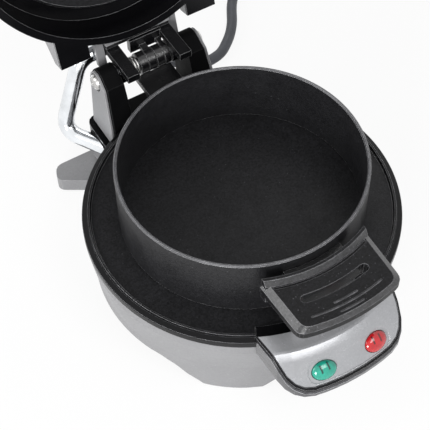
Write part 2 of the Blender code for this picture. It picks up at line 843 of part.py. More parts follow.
def foot_outline(side):
    """The plan of one rear foot, which spreads out beside the rear block."""
    root = BLOCK_HALF_WIDTH - HOUSING_WALL / 2
    root_front = FOOT_REAR - FOOT_ROOT_DEPTH
    points = [
        Vector((root, root_front - HOUSING_WALL)),
        Vector((BLOCK_HALF_WIDTH, root_front)),
        Vector((FOOT_HALF_SPAN, FOOT_REAR - FOOT_TIP_DEPTH)),
        Vector((FOOT_HALF_SPAN - FOOT_CORNER / 2, FOOT_REAR)),
        Vector((root, FOOT_REAR)),
    ]
    points = soften(points, (2, 3), FOOT_CORNER / 2)
    return points if side > 0 else mirrored(points)


def arch_cutter(name, half_width, bearing):
    """A cutter for the scalloped opening between two feet."""
    middle = Vector((0, 0, HOUSING_BOTTOM))
    reach = HOUSING_BELLY_RADIUS + OVERRUN
    outline = [
        Vector((-half_width - ARCH_SLOPE, -OVERRUN)),
        Vector((-half_width - ARCH_SLOPE / 2, 0)),
        Vector((-half_width + ARCH_SLOPE / 2, ARCH_HEIGHT)),
        Vector((half_width - ARCH_SLOPE / 2, ARCH_HEIGHT)),
        Vector((half_width + ARCH_SLOPE / 2, 0)),
        Vector((half_width + ARCH_SLOPE, -OVERRUN)),
    ]
    outline = soften(outline, (1, 2, 3, 4), ARCH_ROUNDING)
    obj = prism(name, outline, HOUSING_HEM_RADIUS / 2, reach)
    stand = Matrix(((1, 0, 0, 0), (0, 0, 1, 0), (0, 1, 0, 0), (0, 0, 0, 1)))
    turn = Matrix.Rotation(bearing - math.pi / 2, 4, "Z")
    obj.data.transform(Matrix.Translation(middle) @ turn @ stand)
    make_outward(obj)
    return obj


def make_outward(obj):
    """Turns a mirrored body's faces outwards again."""
    data = bmesh.new()
    data.from_mesh(obj.data)
    bmesh.ops.recalc_face_normals(data, faces=data.faces)
    data.to_mesh(obj.data)
    data.free()


def base_housing(parent, material):
    """The grey shell: round body, rear block and rear feet, open at the top and bottom."""
    top = RIM_BOTTOM - GAP
    deck_bottom = DECK_TOP - DECK_THICKNESS
    shell = turned("base_housing", housing_profile(0, HOUSING_BOTTOM, top), LARGE_STEPS)
    rear = block(
        "rear",
        (-BLOCK_HALF_WIDTH, 0, BLOCK_BOTTOM),
        (BLOCK_HALF_WIDTH, BLOCK_REAR, DECK_TOP),
    )
    join(shell, rear)
    for side in (-1, 1):
        join(shell, prism("foot", foot_outline(side), FOOT_BOTTOM, FOOT_TOP))
    cavity = turned("cavity", housing_profile(HOUSING_WALL, -OVERRUN, top + OVERRUN), LARGE_STEPS)
    inner_half_width = BLOCK_HALF_WIDTH - HOUSING_WALL
    inner_rear = BLOCK_REAR - HOUSING_WALL
    passage = block(
        "passage",
        (-inner_half_width, HOUSING_HEM_RADIUS / 2, -OVERRUN / 2),
        (inner_half_width, inner_rear, deck_bottom + OVERRUN / 2),
    )
    saddle = block(
        "saddle",
        (-DECK_HALF_WIDTH - GAP, HOUSING_HEM_RADIUS / 2, deck_bottom - GAP),
        (DECK_HALF_WIDTH + GAP, BLOCK_REAR + OVERRUN, top + OVERRUN),
    )
    cut(shell, join(cavity, passage), saddle)
    cut(shell, arch_cutter("front arch", FRONT_ARCH_HALF_WIDTH, math.radians(-90)))
    cut(shell, arch_cutter("left arch", SIDE_ARCH_HALF_WIDTH, SIDE_ARCH_BEARING))
    cut(shell, arch_cutter("right arch", SIDE_ARCH_HALF_WIDTH, math.pi - SIDE_ARCH_BEARING))
    cut(shell, conduit_bore("bore"), relief_bore())
    return finish(shell, parent, material)


def rim_sector(name, inner_radius, outer_radius, bottom, top, half_angle, bearing):
    """A piece of a flat ring, to both sides of a bearing."""
    path = []
    for radius, start in ((inner_radius, -half_angle), (outer_radius, half_angle)):
        for step in range(SMALL_STEPS + 1):
            angle = bearing + start - 2 * start * step / SMALL_STEPS
            path.append(Vector((radius * math.cos(angle), radius * math.sin(angle))))
    return prism(name, path, bottom, top)


def top_cover(parent, material):
    """The black rim that holds the lower plate, with the deck that carries the hinge."""
    inner = PLATE_RADIUS + GAP
    ledge_top = PLATE_TOP - PLATE_THICKNESS - GAP
    skirt = HOUSING_TOP_RADIUS - HOUSING_WALL - GAP
    ledge_bottom = ledge_top - RIM_LEDGE_THICKNESS
    edge_top = RIM_CREST - RIM_FALL
    profile = [
        (inner, RIM_CREST),
        (RIM_RADIUS - RIM_EDGE_WIDTH, edge_top),
        (RIM_RADIUS - RIM_EDGE_WIDTH / 4, edge_top - RIM_EDGE_DROP / 4),
        (RIM_RADIUS, edge_top - RIM_EDGE_DROP),
        (RIM_RADIUS, RIM_BOTTOM),
        (skirt, RIM_BOTTOM),
        (skirt, ledge_bottom),
        (skirt - RIM_LEDGE_WIDTH, ledge_bottom),
        (skirt - RIM_LEDGE_WIDTH, ledge_top),
        (inner, ledge_top),
    ]
    cover = turned("top_cover", profile, LARGE_STEPS)
    notch_radius = PLATE_RADIUS - NOTCH_DEPTH + GAP
    front = math.radians(-90)
    half_angle = NOTCH_HALF_ANGLE - GAP / notch_radius
    overlap = ledge_top - RIM_LEDGE_THICKNESS / 2
    lower_end = skirt - RIM_STEP
    upper_start = skirt - RIM_WIDTH / 2
    upper_bottom = RIM_BOTTOM + RIM_STEP
    bridge = rim_sector("bridge", notch_radius, lower_end, overlap, RIM_CREST, half_angle, front)
    sill = rim_sector("sill", upper_start, inner + RIM_STEP, upper_bottom, RIM_CREST, half_angle, front)
    join(cover, join(bridge, sill))
    wall = turned("wall", [
        (inner + RIM_STEP, DECK_TOP - DECK_THICKNESS / 2),
        (RIM_RADIUS - RIM_STEP, DECK_TOP - DECK_THICKNESS / 2),
        (RIM_RADIUS - RIM_STEP, RIM_BOTTOM + RIM_WIDTH / 2),
        (inner + RIM_STEP, RIM_BOTTOM + RIM_WIDTH / 2),
    ], LARGE_STEPS)
    half_width = DECK_HALF_WIDTH - RIM_STEP
    room = block("room", (-half_width, 0, 0), (half_width, DECK_REAR, RIM_CREST))
    join(cover, keep_common(wall, room))
    front_edge = math.sqrt(skirt**2 - DECK_HALF_WIDTH**2)
    outline = [
        Vector((-DECK_HALF_WIDTH, front_edge)),
        Vector((DECK_HALF_WIDTH, front_edge)),
        Vector((DECK_HALF_WIDTH, DECK_REAR)),
        Vector((-DECK_HALF_WIDTH, DECK_REAR)),
    ]
    deck = prism("deck", soften(outline, (2, 3), DECK_CORNER), DECK_TOP - DECK_THICKNESS, DECK_TOP)
    inside = turned("inside", [(0, 0), (skirt, 0), (skirt, RIM_CREST), (0, RIM_CREST)], LARGE_STEPS)
    join(cover, cut(deck, inside))
    return finish(cover, parent, material)


def lower_plate(parent, material):
    """The non-stick plate with its raised lip, stepped in at the front handle."""
    bottom = PLATE_TOP - PLATE_THICKNESS
    crest = PLATE_TOP + PLATE_LIP_HEIGHT
    lip_inner = PLATE_RADIUS - PLATE_LIP_WIDTH
    profile = [
        (0, PLATE_TOP),
        (lip_inner - PLATE_LIP_SLOPE, PLATE_TOP),
        (lip_inner, crest),
        (PLATE_RADIUS, crest),
        (PLATE_RADIUS, bottom),
        (0, bottom),
    ]
    plate = turned("lower_plate", profile, LARGE_STEPS)
    notch = rim_sector(
        "notch",
        PLATE_RADIUS - NOTCH_DEPTH,
        PLATE_RADIUS + OVERRUN,
        bottom - OVERRUN,
        crest + OVERRUN,
        NOTCH_HALF_ANGLE,
        math.radians(-90),
    )
    cut(plate, notch)
    return finish(plate, parent, material)


def heating_loop(name, radius, height, tail_direction):
    """A sheathed element: one loop whose two ends turn away from the plate."""
    middle = math.radians(90)
    start = middle + ELEMENT_OPENING / 2
    sweep = math.tau - ELEMENT_OPENING
    points = []
    for step in range(MEDIUM_STEPS + 1):
        angle = start + sweep * step / MEDIUM_STEPS
        points.append(Vector((radius * math.cos(angle), radius * math.sin(angle), height)))
    down = Vector((0, 0, tail_direction * ELEMENT_TAIL))
    inward = Vector((0, -ELEMENT_RADIUS * 2, 0))
    elbow = inward / 2 + down * ELEMENT_ELBOW_SHARE
    first = points[0]
    last = points[-1]
    path = [first + inward + down, first + elbow, *points, last + elbow, last + inward + down]
    return tube_mesh(name, path, ELEMENT_RADIUS, SMALL_STEPS // 2)


def heat_shield(name, rim_radius, rim_height, direction):
    """A thin dish behind an element, whose flat rim lies at this height."""
    rise = direction * SHIELD_DEPTH
    skin = direction * SHIELD_THICKNESS
    profile = [
        (0, rim_height + rise),
        (SHIELD_FLOOR_RADIUS, rim_height + rise),
        (SHIELD_FLOOR_RADIUS + SHIELD_FLARE, rim_height),
        (rim_radius, rim_height),
        (rim_radius, rim_height + skin),
        (SHIELD_FLOOR_RADIUS + SHIELD_FLARE + SHIELD_THICKNESS, rim_height + skin),
        (SHIELD_FLOOR_RADIUS + SHIELD_THICKNESS, rim_height + rise + skin),
        (0, rim_height + rise + skin),
    ]
    return turned(name, profile, LARGE_STEPS)


def base_heating(parent, metals, plastics):
    """Element, heat shield, thermostat and thermal fuse under the lower plate."""
    underside = PLATE_TOP - PLATE_THICKNESS - GAP
    element_height = underside - ELEMENT_RADIUS
    element = heating_loop("lower_heating_element", ELEMENT_LOOP_RADIUS, element_height, -1)
    finish(element, parent, metals["steel"])
    rim_height = underside - RIM_LEDGE_THICKNESS - GAP
    rim_radius = HOUSING_TOP_RADIUS - HOUSING_WALL - GAP * 2
    shield = heat_shield("lower_heat_shield", rim_radius, rim_height, -1)
    tail_angle = math.radians(90) + ELEMENT_OPENING / 2
    tail_x = ELEMENT_LOOP_RADIUS * math.cos(tail_angle)
    tail_y = ELEMENT_LOOP_RADIUS * math.sin(tail_angle)
    for side in (-1, 1):
        start = (side * tail_x, tail_y - ELEMENT_RADIUS, 0)
        end = (side * tail_x, tail_y - ELEMENT_RADIUS, PLATE_TOP)
        cut(shield, rod("hole", ELEMENT_RADIUS * 2, start, end, SMALL_STEPS))
    finish(shield, parent, metals["aluminium"])
    thermostat = rod(
        "thermostat",
        THERMOSTAT_RADIUS,
        (0, 0, underside - THERMOSTAT_HEIGHT),
        (0, 0, underside),
        SMALL_STEPS,
    )
    finish(thermostat, parent, plastics["black"])
    fuse_height = rim_height - SHIELD_DEPTH - SHIELD_THICKNESS - GAP - FUSE_RADIUS
    fuse = rod(
        "thermal_fuse",
        FUSE_RADIUS,
        (-FUSE_LENGTH / 2, -FUSE_REACH, fuse_height),
        (FUSE_LENGTH / 2, -FUSE_REACH, fuse_height),
        SMALL_STEPS,
    )
    finish(fuse, parent, plastics["white"])


def bottom_cover(parent, plastics, metals):
    """The plate that closes the base from below, with its legs, pads and screws."""
    top = BOTTOM_COVER_HEIGHT + BOTTOM_COVER_THICKNESS
    radius = housing_radius(BOTTOM_COVER_HEIGHT) - HOUSING_WALL - GAP
    cover = rod("bottom_cover", radius, (0, 0, BOTTOM_COVER_HEIGHT), (0, 0, top), LARGE_STEPS)
    half_width = BLOCK_HALF_WIDTH - HOUSING_WALL - GAP
    rear = BLOCK_REAR - HOUSING_WALL - GAP
    join(cover, block("tail", (-half_width, 0, BOTTOM_COVER_HEIGHT), (half_width, rear, top)))
    leg_bottom = PAD_HEIGHT + GAP
    for side, name in ((-1, "left"), (1, "right")):
        x = side * FRONT_LEG_REACH * math.cos(FRONT_LEG_BEARING)
        y = -FRONT_LEG_REACH * math.sin(FRONT_LEG_BEARING)
        join(cover, rod("leg", FRONT_LEG_RADIUS, (x, y, leg_bottom), (x, y, top), SMALL_STEPS))
        pad = rod(f"front_{name}_foot_pad", PAD_RADIUS, (x, y, 0), (x, y, PAD_HEIGHT), SMALL_STEPS)
        finish(pad, parent, plastics["rubber"])
        x = side * (FOOT_HALF_SPAN - REAR_PAD_SIDE_INSET)
        y = FOOT_REAR - REAR_PAD_REAR_INSET
        pad = rod(f"rear_{name}_foot_pad", REAR_PAD_RADIUS, (x, y, 0), (x, y, REAR_PAD_HEIGHT), SMALL_STEPS)
        finish(pad, parent, plastics["rubber"])
    finish(cover, parent, plastics["black"])
    for number in range(COVER_SCREWS):
        angle = math.radians(90) + math.tau * number / COVER_SCREWS
        x = COVER_SCREW_REACH * math.cos(angle)
        y = COVER_SCREW_REACH * math.sin(angle)
        head_top = BOTTOM_COVER_HEIGHT - GAP
        screw = rod(
            f"cover_screw_{number + 1}",
            COVER_SCREW_RADIUS,
            (x, y, head_top - COVER_SCREW_HEAD),
            (x, y, head_top),
            SMALL_STEPS,
        )
        finish(screw, parent, metals["steel"])
    width, depth, height = TERMINAL_BLOCK_SIZE
    terminals = block(
        "terminal_block",
        (-width / 2, TERMINAL_BLOCK_Y - depth / 2, top + GAP),
        (width / 2, TERMINAL_BLOCK_Y + depth / 2, top + GAP + height),
    )
    finish(terminals, parent, plastics["white"])


def panel_corners():
    """Rear edge, crease, knee and front edge of the panel, as (radius, height)."""
    return (
        Vector((PANEL_REAR_RADIUS, PLATE_TOP + PANEL_REAR_RISE)),
        Vector((RIM_RADIUS + PANEL_CREASE_REACH, PLATE_TOP + PANEL_CREASE_RISE)),
        Vector((RIM_RADIUS + PANEL_KNEE_REACH, PLATE_TOP - PANEL_KNEE_DROP)),
        Vector((BODY_FRONT_RADIUS, PANEL_FRONT_TOP)),
    )


def panel_line(drop, rear_radius):
    """The section of the panel's face, this far below it, from a rear radius to past the front."""
    rear, crease, knee, front = panel_corners()
    start = rear.lerp(crease, (rear_radius - rear[0]) / (crease[0] - rear[0]))
    beyond = front + (front - knee).normalized() * OVERRUN
    points = [start]
    points.extend(round_corner(rear, crease, knee, PANEL_ROUNDING, CORNER_STEPS // 2))
    points.extend(round_corner(crease, knee, front, PANEL_ROUNDING, CORNER_STEPS // 2))
    points.append(beyond)
    return [Vector((point[0], point[1] - drop)) for point in points]


def panel_band(name, upper_drop, lower_drop, rear_radius):
    """A sheet that follows the panel between two depths, from a rear radius forwards."""
    upper = panel_line(upper_drop, rear_radius)
    lower = panel_line(lower_drop, rear_radius)
    return front_sweep(name, upper + list(reversed(lower)), PANEL_HALF_ANGLE)


def body_plan():
    """The plan of the front handle, which runs on behind the place where the base begins."""
    path, corners = front_sector(
        BODY_REAR_RADIUS - OVERRUN,
        BODY_FRONT_RADIUS,
        BODY_REAR_HALF_WIDTH,
        BODY_FRONT_HALF_WIDTH,
    )
    return spaced_out(soften(path, corners[2:], BODY_CORNER))


def panel_tilt():
    """How far the sloping front of the panel leans forwards."""
    knee, front = panel_corners()[2:]
    return math.atan2(knee[1] - front[1], front[0] - knee[0])


def lens_place():
    """The middle of a lens on the panel's slope, as (radius, height)."""
    knee, front = panel_corners()[2:]
    return knee.lerp(front, (LENS_RADIUS - knee[0]) / (front[0] - knee[0]))


def on_slope(obj, side):
    """Sets a body made at the origin on the panel's slope, to one side of the middle."""
    radius, height = lens_place()
    bearing = side * math.asin(LENS_HALF_SPACING / LENS_RADIUS)
    place = Matrix.Rotation(bearing, 4, "Z") @ Matrix.Translation((0, -radius, height))
    obj.data.transform(place @ Matrix.Rotation(panel_tilt(), 4, "X"))
    return obj


def ellipse_prism(name, half_length, half_width, bottom, top):
    """An upright elliptic prism about the origin."""
    outline = []
    for step in range(MEDIUM_STEPS):
        angle = math.tau * step / MEDIUM_STEPS
        outline.append((half_length * math.cos(angle), half_width * math.sin(angle)))
    return prism(name, outline, bottom, top)


def lens_hole():
    """A cutter with the outline of a lens and its clearance."""
    return ellipse_prism("hole", LENS_HALF_LENGTH + GAP, LENS_HALF_WIDTH + GAP, -OVERRUN, OVERRUN)


def body_shell(plan):
    """The body's outer block: a sheet under the panel that thins towards the front, and the lamps' box."""
    under = PANEL_THICKNESS + GAP
    upper = panel_line(under, BODY_REAR_RADIUS)
    rear_bottom = PLATE_TOP - BODY_REAR_DROP
    front_bottom = PANEL_FRONT_TOP - BODY_FRONT_DEPTH
    lower = [
        upper[-1] - Vector((0, BODY_FRONT_DEPTH - under)),
        Vector((BODY_FRONT_RADIUS, front_bottom)),
        Vector((BODY_REAR_RADIUS, rear_bottom)),
    ]
    sheet = front_sweep("front_handle_body", upper + lower, PANEL_HALF_ANGLE)
    high = PLATE_TOP + OVERRUN
    keep_common(sheet, prism("plan", plan, 0, high))
    box = stacked("box", [
        (inset(plan, BODY_BOX_INSET + BODY_BOX_TAPER), BODY_BOTTOM),
        (inset(plan, BODY_BOX_INSET), BODY_BOTTOM + BODY_BOX_RISE),
        (inset(plan, BODY_BOX_INSET), high),
    ])
    keep_common(box, panel_band("below", under + BODY_WALL / 2, PLATE_TOP, BODY_REAR_RADIUS + RIM_STEP))
    return join(sheet, box)


def body_hollow(plan):
    """The room inside the lamps' box, closed above by the sheet under the panel."""
    under = PANEL_THICKNESS + GAP
    hollow = stacked("hollow", [
        (inset(plan, BODY_BOX_INSET + BODY_BOX_TAPER + BODY_WALL), BODY_BOTTOM + BODY_WALL),
        (inset(plan, BODY_BOX_INSET + BODY_WALL), BODY_BOTTOM + BODY_BOX_RISE),
        (inset(plan, BODY_BOX_INSET + BODY_WALL), PLATE_TOP + OVERRUN),
    ])
    ceiling = panel_band("ceiling", under + BODY_WALL, PLATE_TOP, BODY_REAR_RADIUS - OVERRUN / 2)
    return keep_common(hollow, ceiling)


def front_handle(parent, plastics):
    """Smoked body, black trim and silver fascia of the handle in front of the base."""
    plan = body_plan()
    body = body_shell(plan)
    cut(body, body_hollow(plan))
    high = PLATE_TOP + OVERRUN
    trim = prism("panel_trim", inset(plan, TRIM_INSET), 0, high)
    cut(trim, prism("opening", inset(plan, TRIM_INSET + TRIM_WIDTH), -OVERRUN, high + OVERRUN))
    keep_common(trim, panel_band("trim band", -TRIM_RAISE, PANEL_THICKNESS, PANEL_REAR_RADIUS))
    fascia = prism("control_fascia", inset(plan, TRIM_INSET + TRIM_WIDTH + GAP), 0, high)
    keep_common(fascia, panel_band("fascia band", 0, PANEL_THICKNESS, PANEL_REAR_RADIUS))
    recess_width = 2 * (LENS_HALF_WIDTH + RECESS_MARGIN) * math.cos(panel_tilt())
    recess = prism("recess", arc_slot(LENS_RADIUS, RECESS_HALF_WIDTH, recess_width), 0, high)
    keep_common(recess, panel_band("recess band", -OVERRUN, RECESS_DEPTH, PANEL_REAR_RADIUS))
    cut(fascia, recess)
    for side in (-1, 1):
        cut(fascia, on_slope(lens_hole(), side))
        cut(body, on_slope(lens_hole(), side))
    finish(body, parent, plastics["smoke"])
    finish(trim, parent, plastics["black"])
    finish(fascia, parent, plastics["silver"])


def lens_profile():
    """A domed cap as a section of unit radius, with its hollow open below."""
    wall_share = LENS_WALL / LENS_HALF_WIDTH
    outer = [(0, LENS_DOME)]
    inner = [(0, LENS_DOME - LENS_WALL)]
    for step in range(1, CORNER_STEPS + 1):
        angle = math.pi / 2 * step / CORNER_STEPS
        share = math.sin(angle)
        outer.append((share, LENS_DOME * math.cos(angle)))
        inner.append((share * (1 - wall_share), (LENS_DOME - LENS_WALL) * math.cos(angle)))
    ends = [(1, -LENS_DEPTH), (1 - wall_share, -LENS_DEPTH)]
    return outer + ends + list(reversed(inner))


def lamps(parent, plastics):
    """Two lenses on the slope, each with its lamp, on one holder."""
    rows = ((-1, "preheat", "green lens"), (1, "power", "red lens"))
    for side, name, colour in rows:
        lens = turned(f"{name}_lens", lens_profile(), MEDIUM_STEPS)
        lens.data.transform(Matrix.Diagonal((LENS_HALF_LENGTH, LENS_HALF_WIDTH, 1, 1)))
        finish(on_slope(lens, side), parent, plastics[colour])
        half = LAMP_LENGTH / 2 - LAMP_RADIUS
        profile = []
        for step in range(SMALL_STEPS // 2 + 1):
            angle = math.pi * step / (SMALL_STEPS // 2)
            centre = half if angle < math.pi / 2 else -half
            radius = 0 if step in (0, SMALL_STEPS // 2) else LAMP_RADIUS * math.sin(angle)
            profile.append((radius, centre + LAMP_RADIUS * math.cos(angle)))
        lamp = turned(f"{name}_lamp", profile, SMALL_STEPS)
        lamp.data.transform(Matrix.Translation((0, 0, -LAMP_DROP)) @ Matrix.Rotation(math.pi / 2, 4, "Y"))
        leg = block(
            "leg",
            (-LAMP_LEG, -LAMP_LEG / 2, -LENS_DEPTH),
            (LAMP_LEG, LAMP_LEG / 2, -LAMP_DROP - LAMP_RADIUS / 2),
        )
        join(lamp, leg)
        finish(on_slope(lamp, side), parent, plastics["white"])
    finish(lamp_holder(), parent, plastics["white"])


def lamp_holder():
    """The curved bar under both lenses that their lamps stand on."""
    tilt = panel_tilt()
    along = Vector((math.cos(tilt), -math.sin(tilt)))
    inward = Vector((-math.sin(tilt), -math.cos(tilt)))
    upper = lens_place() + inward * (LENS_DEPTH + GAP)
    lower = upper + inward * HOLDER_THICKNESS
    half = along * HOLDER_HALF_WIDTH
    section = [upper - half, upper + half, lower + half, lower - half]
    return front_sweep("lamp_holder", section, HOLDER_HALF_ANGLE)


def post_front_y(height):
    """Where the sloping front face of a hinge post lies at this height."""
    return POST_FRONT_TOP_Y - (POST_FRONT_TOP_HEIGHT - height) * POST_FRONT_SLOPE


def post_outline(margin):
    """The side view of a hinge post, this far inside its own edge."""
    bottom = DECK_TOP + GAP
    radius = POST_BARREL_RADIUS - margin
    points = [
        Vector((post_front_y(bottom) + margin, bottom + margin)),
        Vector((POST_REAR_Y - margin, bottom + margin)),
    ]
    for step in range(SMALL_STEPS // 2 + 1):
        angle = POST_BARREL_START + POST_BARREL_SWEEP * step / (SMALL_STEPS // 2)
        points.append(Vector((HINGE_Y + radius * math.cos(angle), HINGE_HEIGHT + radius * math.sin(angle))))
    points.append(Vector((POST_FRONT_TOP_Y + margin, POST_FRONT_TOP_HEIGHT - margin)))
    return points


def spread(obj, side):
    """Leans the outer face of a post outwards towards its foot, and its side cover with it."""
    for vertex in obj.data.vertices:
        outer_share = min(1, (vertex.co.x * side - POST_INNER_X) / (POST_OUTER_X - POST_INNER_X))
        drop_share = (HINGE_HEIGHT - vertex.co.z) / (HINGE_HEIGHT - DECK_TOP)
        vertex.co.x += side * POST_SPREAD * drop_share * outer_share


def rim_clearance():
    """A cutter that keeps the hinge posts off the rim of the top cover."""
    radius = RIM_RADIUS + GAP
    top = RIM_CREST + GAP
    return turned("rim", [(0, 0), (radius, 0), (radius, top), (0, top)], LARGE_STEPS)


def hinge_posts(parent, plastics, metals):
    """Two black posts on the deck with their grey side covers, the shaft and its nuts."""
    for side, name in ((-1, "left"), (1, "right")):
        inner_x = side * POST_INNER_X
        outer_x = side * POST_OUTER_X
        beyond = side * (POST_OUTER_X + OVERRUN)
        post = prism_along_x(f"{name}_hinge_post", post_outline(0), inner_x, outer_x)
        make_outward(post)
        spread(post, side)
        bore = shaft_bore("bore", side * (POST_INNER_X - OVERRUN), beyond)
        pocket = axis_rod("pocket", POCKET_RADIUS, side * (POST_OUTER_X - POCKET_DEPTH), beyond)
        cut(post, rim_clearance(), bore, pocket)
        finish(post, parent, plastics["black"])
        start = side * (POST_OUTER_X + GAP)
        end = start + side * POST_COVER_THICKNESS
        cover = prism_along_x(f"{name}_post_cover", post_outline(POST_COVER_MARGIN), start, end)
        make_outward(cover)
        spread(cover, side)
        cut(cover, rim_clearance(), axis_rod("window", POCKET_RADIUS, inner_x, beyond))
        finish(cover, parent, plastics["grey"])
        nut_start = side * (SHAFT_HALF_LENGTH + GAP)
        nut_end = nut_start + side * NUT_THICKNESS
        nut = axis_rod(f"{name}_shaft_nut", NUT_RADIUS, nut_start, nut_end)
        hole_start = nut_start + side * NUT_THICKNESS / 2
        cut(nut, axis_rod("hole", NUT_HOLE_RADIUS, hole_start, nut_end + side * OVERRUN))
        finish(nut, parent, metals["steel"])
    shaft = axis_rod("hinge_shaft", SHAFT_RADIUS, -SHAFT_HALF_LENGTH, SHAFT_HALF_LENGTH)
    finish(shaft, parent, metals["chrome"])


def axis_rod(name, radius, start_x, end_x):
    """A cylinder on the hinge axis between two X places."""
    start = (start_x, HINGE_Y, HINGE_HEIGHT)
    end = (end_x, HINGE_Y, HINGE_HEIGHT)
    return rod(name, radius, start, end, MEDIUM_STEPS)


def shaft_bore(name, start_x, end_x):
    """A cutter for the running hole round the hinge shaft."""
    return axis_rod(name, SHAFT_RADIUS + GAP, start_x, end_x)


def knuckle_places():
    """The X ranges of the four knuckles, of which the ring and the lid have every other one."""
    places = []
    start = KNUCKLE_START
    for _ in range(3):
        places.append((start, start + KNUCKLE_WIDTH))
        start += KNUCKLE_WIDTH + GAP
    places.append((start, ARM_INNER_X - GAP))
    return places


def spring_points():
    """The middle line of the spring on the shaft, between the left arm and the first knuckle."""
    start = -ARM_INNER_X + GAP + SPRING_WIRE_RADIUS
    length = KNUCKLE_START - GAP - SPRING_WIRE_RADIUS - start
    turns = length / SPRING_PITCH
    count = round(turns * SPRING_POINTS_PER_TURN)
    points = []
    for step in range(count + 1):
        angle = math.tau * turns * step / count
        y = HINGE_Y + SPRING_RADIUS * math.cos(angle)
        z = HINGE_HEIGHT + SPRING_RADIUS * math.sin(angle)
        points.append(Vector((start + length * step / count, y, z)))
    return points


def hinge_spring(parent, steel):
    """A short bright coil on the hinge shaft."""
    points = spring_points()
    print(f"least gap between the spring's turns: {self_gap(points, SPRING_WIRE_RADIUS) * 1000:.2f} mm")
    spring = tube_mesh("hinge_spring", points, SPRING_WIRE_RADIUS, SMALL_STEPS // 2)
    finish(spring, parent, steel)


def cooking_ring(parent, material):
    """The open ring that shapes the patty."""
    bottom = PLATE_TOP + GAP
    inner = RING_RADIUS - RING_WALL
    profile = [
        (RING_RADIUS, bottom),
        (RING_RADIUS, RING_TOP - RING_EDGE),
        (RING_RADIUS - RING_EDGE, RING_TOP),
        (inner + RING_EDGE, RING_TOP),
        (inner, RING_TOP - RING_EDGE),
        (inner, bottom),
    ]
    return finish(turned("cooking_ring", profile, LARGE_STEPS), parent, material)


def ring_segment(name, half_width, inner_radius, outer_radius, bottom, top, side):
    """A piece of a round wall in front of (-1) or behind (1) the ring, cut to a width."""
    wall = turned(name, [
        (inner_radius, bottom),
        (outer_radius, bottom),
        (outer_radius, top),
        (inner_radius, top),
    ], LARGE_STEPS)
    near = inner_radius / 2
    far = outer_radius + OVERRUN
    low = (-half_width, min(side * near, side * far), bottom - OVERRUN)
    high = (half_width, max(side * near, side * far), top + OVERRUN)
    return keep_common(wall, block("room", low, high))


def ring_bracket(parent, black, steel):
    """The flat arm behind the ring, with its two knuckles and its rivets."""
    inner = RING_RADIUS + GAP
    outer = inner + BRACKET_FLANGE
    bottom = BRACKET_TOP - BRACKET_THICKNESS
    flange_bottom = bottom - BRACKET_FLANGE_DROP
    bracket = ring_segment("ring_bracket", BRACKET_HALF_WIDTH, inner, outer, flange_bottom, BRACKET_TOP, 1)
    arm_front = math.sqrt(inner**2 - BRACKET_HALF_WIDTH**2) + BRACKET_FLANGE / 2
    knuckle_front = HINGE_Y - KNUCKLE_RADIUS - GAP
    arm = block(
        "arm",
        (-BRACKET_HALF_WIDTH, arm_front, bottom),
        (BRACKET_HALF_WIDTH, knuckle_front, BRACKET_TOP),
    )
    join(bracket, arm)
    hollow = turned("hollow", [(0, 0), (inner, 0), (inner, RING_TOP), (0, RING_TOP)], LARGE_STEPS)
    cut(bracket, hollow)
    for start, end in knuckle_places()[::2]:
        web = block(
            "web",
            (start, knuckle_front - KNUCKLE_RADIUS / 2, bottom),
            (end, HINGE_Y, BRACKET_TOP),
        )
        join(bracket, web, axis_rod("knuckle", KNUCKLE_RADIUS, start, end))
    cut(bracket, shaft_bore("bore", -BRACKET_HALF_WIDTH * 2, BRACKET_HALF_WIDTH * 2))
    finish(bracket, parent, black)
    rivet_height = bottom - BRACKET_FLANGE_DROP / 2
    for side, name in ((-1, "left"), (1, "right")):
        x = side * RIVET_X
        start = math.sqrt(outer**2 - (RIVET_X - RIVET_RADIUS) ** 2) + GAP
        rivet = rod(
            f"ring_{name}_rivet",
            RIVET_RADIUS,
            (x, start, rivet_height),
            (x, start + RIVET_HEAD, rivet_height),
            SMALL_STEPS,
        )
        finish(rivet, parent, steel)


def handle_plan(length, side_inset, front_inset):
    """The plan of the ring's grip, as long as given, less an inset at the sides and in front."""
    path, corners = front_sector(
        HANDLE_INNER_RADIUS + LIP_SIDE_INSET,
        HANDLE_INNER_RADIUS + length - front_inset,
        HANDLE_REAR_HALF_WIDTH - side_inset,
        HANDLE_FRONT_HALF_WIDTH - side_inset,
    )
    return soften(path, corners[2:], HANDLE_CORNER)


def handle_lip(tongue_top):
    """The raised block along the rear of the grip, with a channel for the stem's tongue."""
    levels = []
    for length, height in (
        (LIP_LENGTH, HANDLE_BOTTOM - LIP_DEPTH),
        (LIP_LENGTH, HANDLE_TOP),
        (LIP_TOP_LENGTH, HANDLE_TOP + LIP_RISE),
    ):
        half_width = HANDLE_REAR_HALF_WIDTH - LIP_SIDE_INSET
        path = front_sector(HANDLE_INNER_RADIUS, HANDLE_INNER_RADIUS + length, half_width, half_width)[0]
        levels.append((path, height))
    lip = stacked("lip", levels)
    half_width = STEM_TONGUE_HALF_WIDTH + GAP
    channel = block(
        "channel",
        (-half_width, -HANDLE_OUTER_RADIUS, HANDLE_BOTTOM - LIP_DEPTH - OVERRUN),
        (half_width, 0, tongue_top + GAP + RIM_STEP),
    )
    return cut(lip, channel)


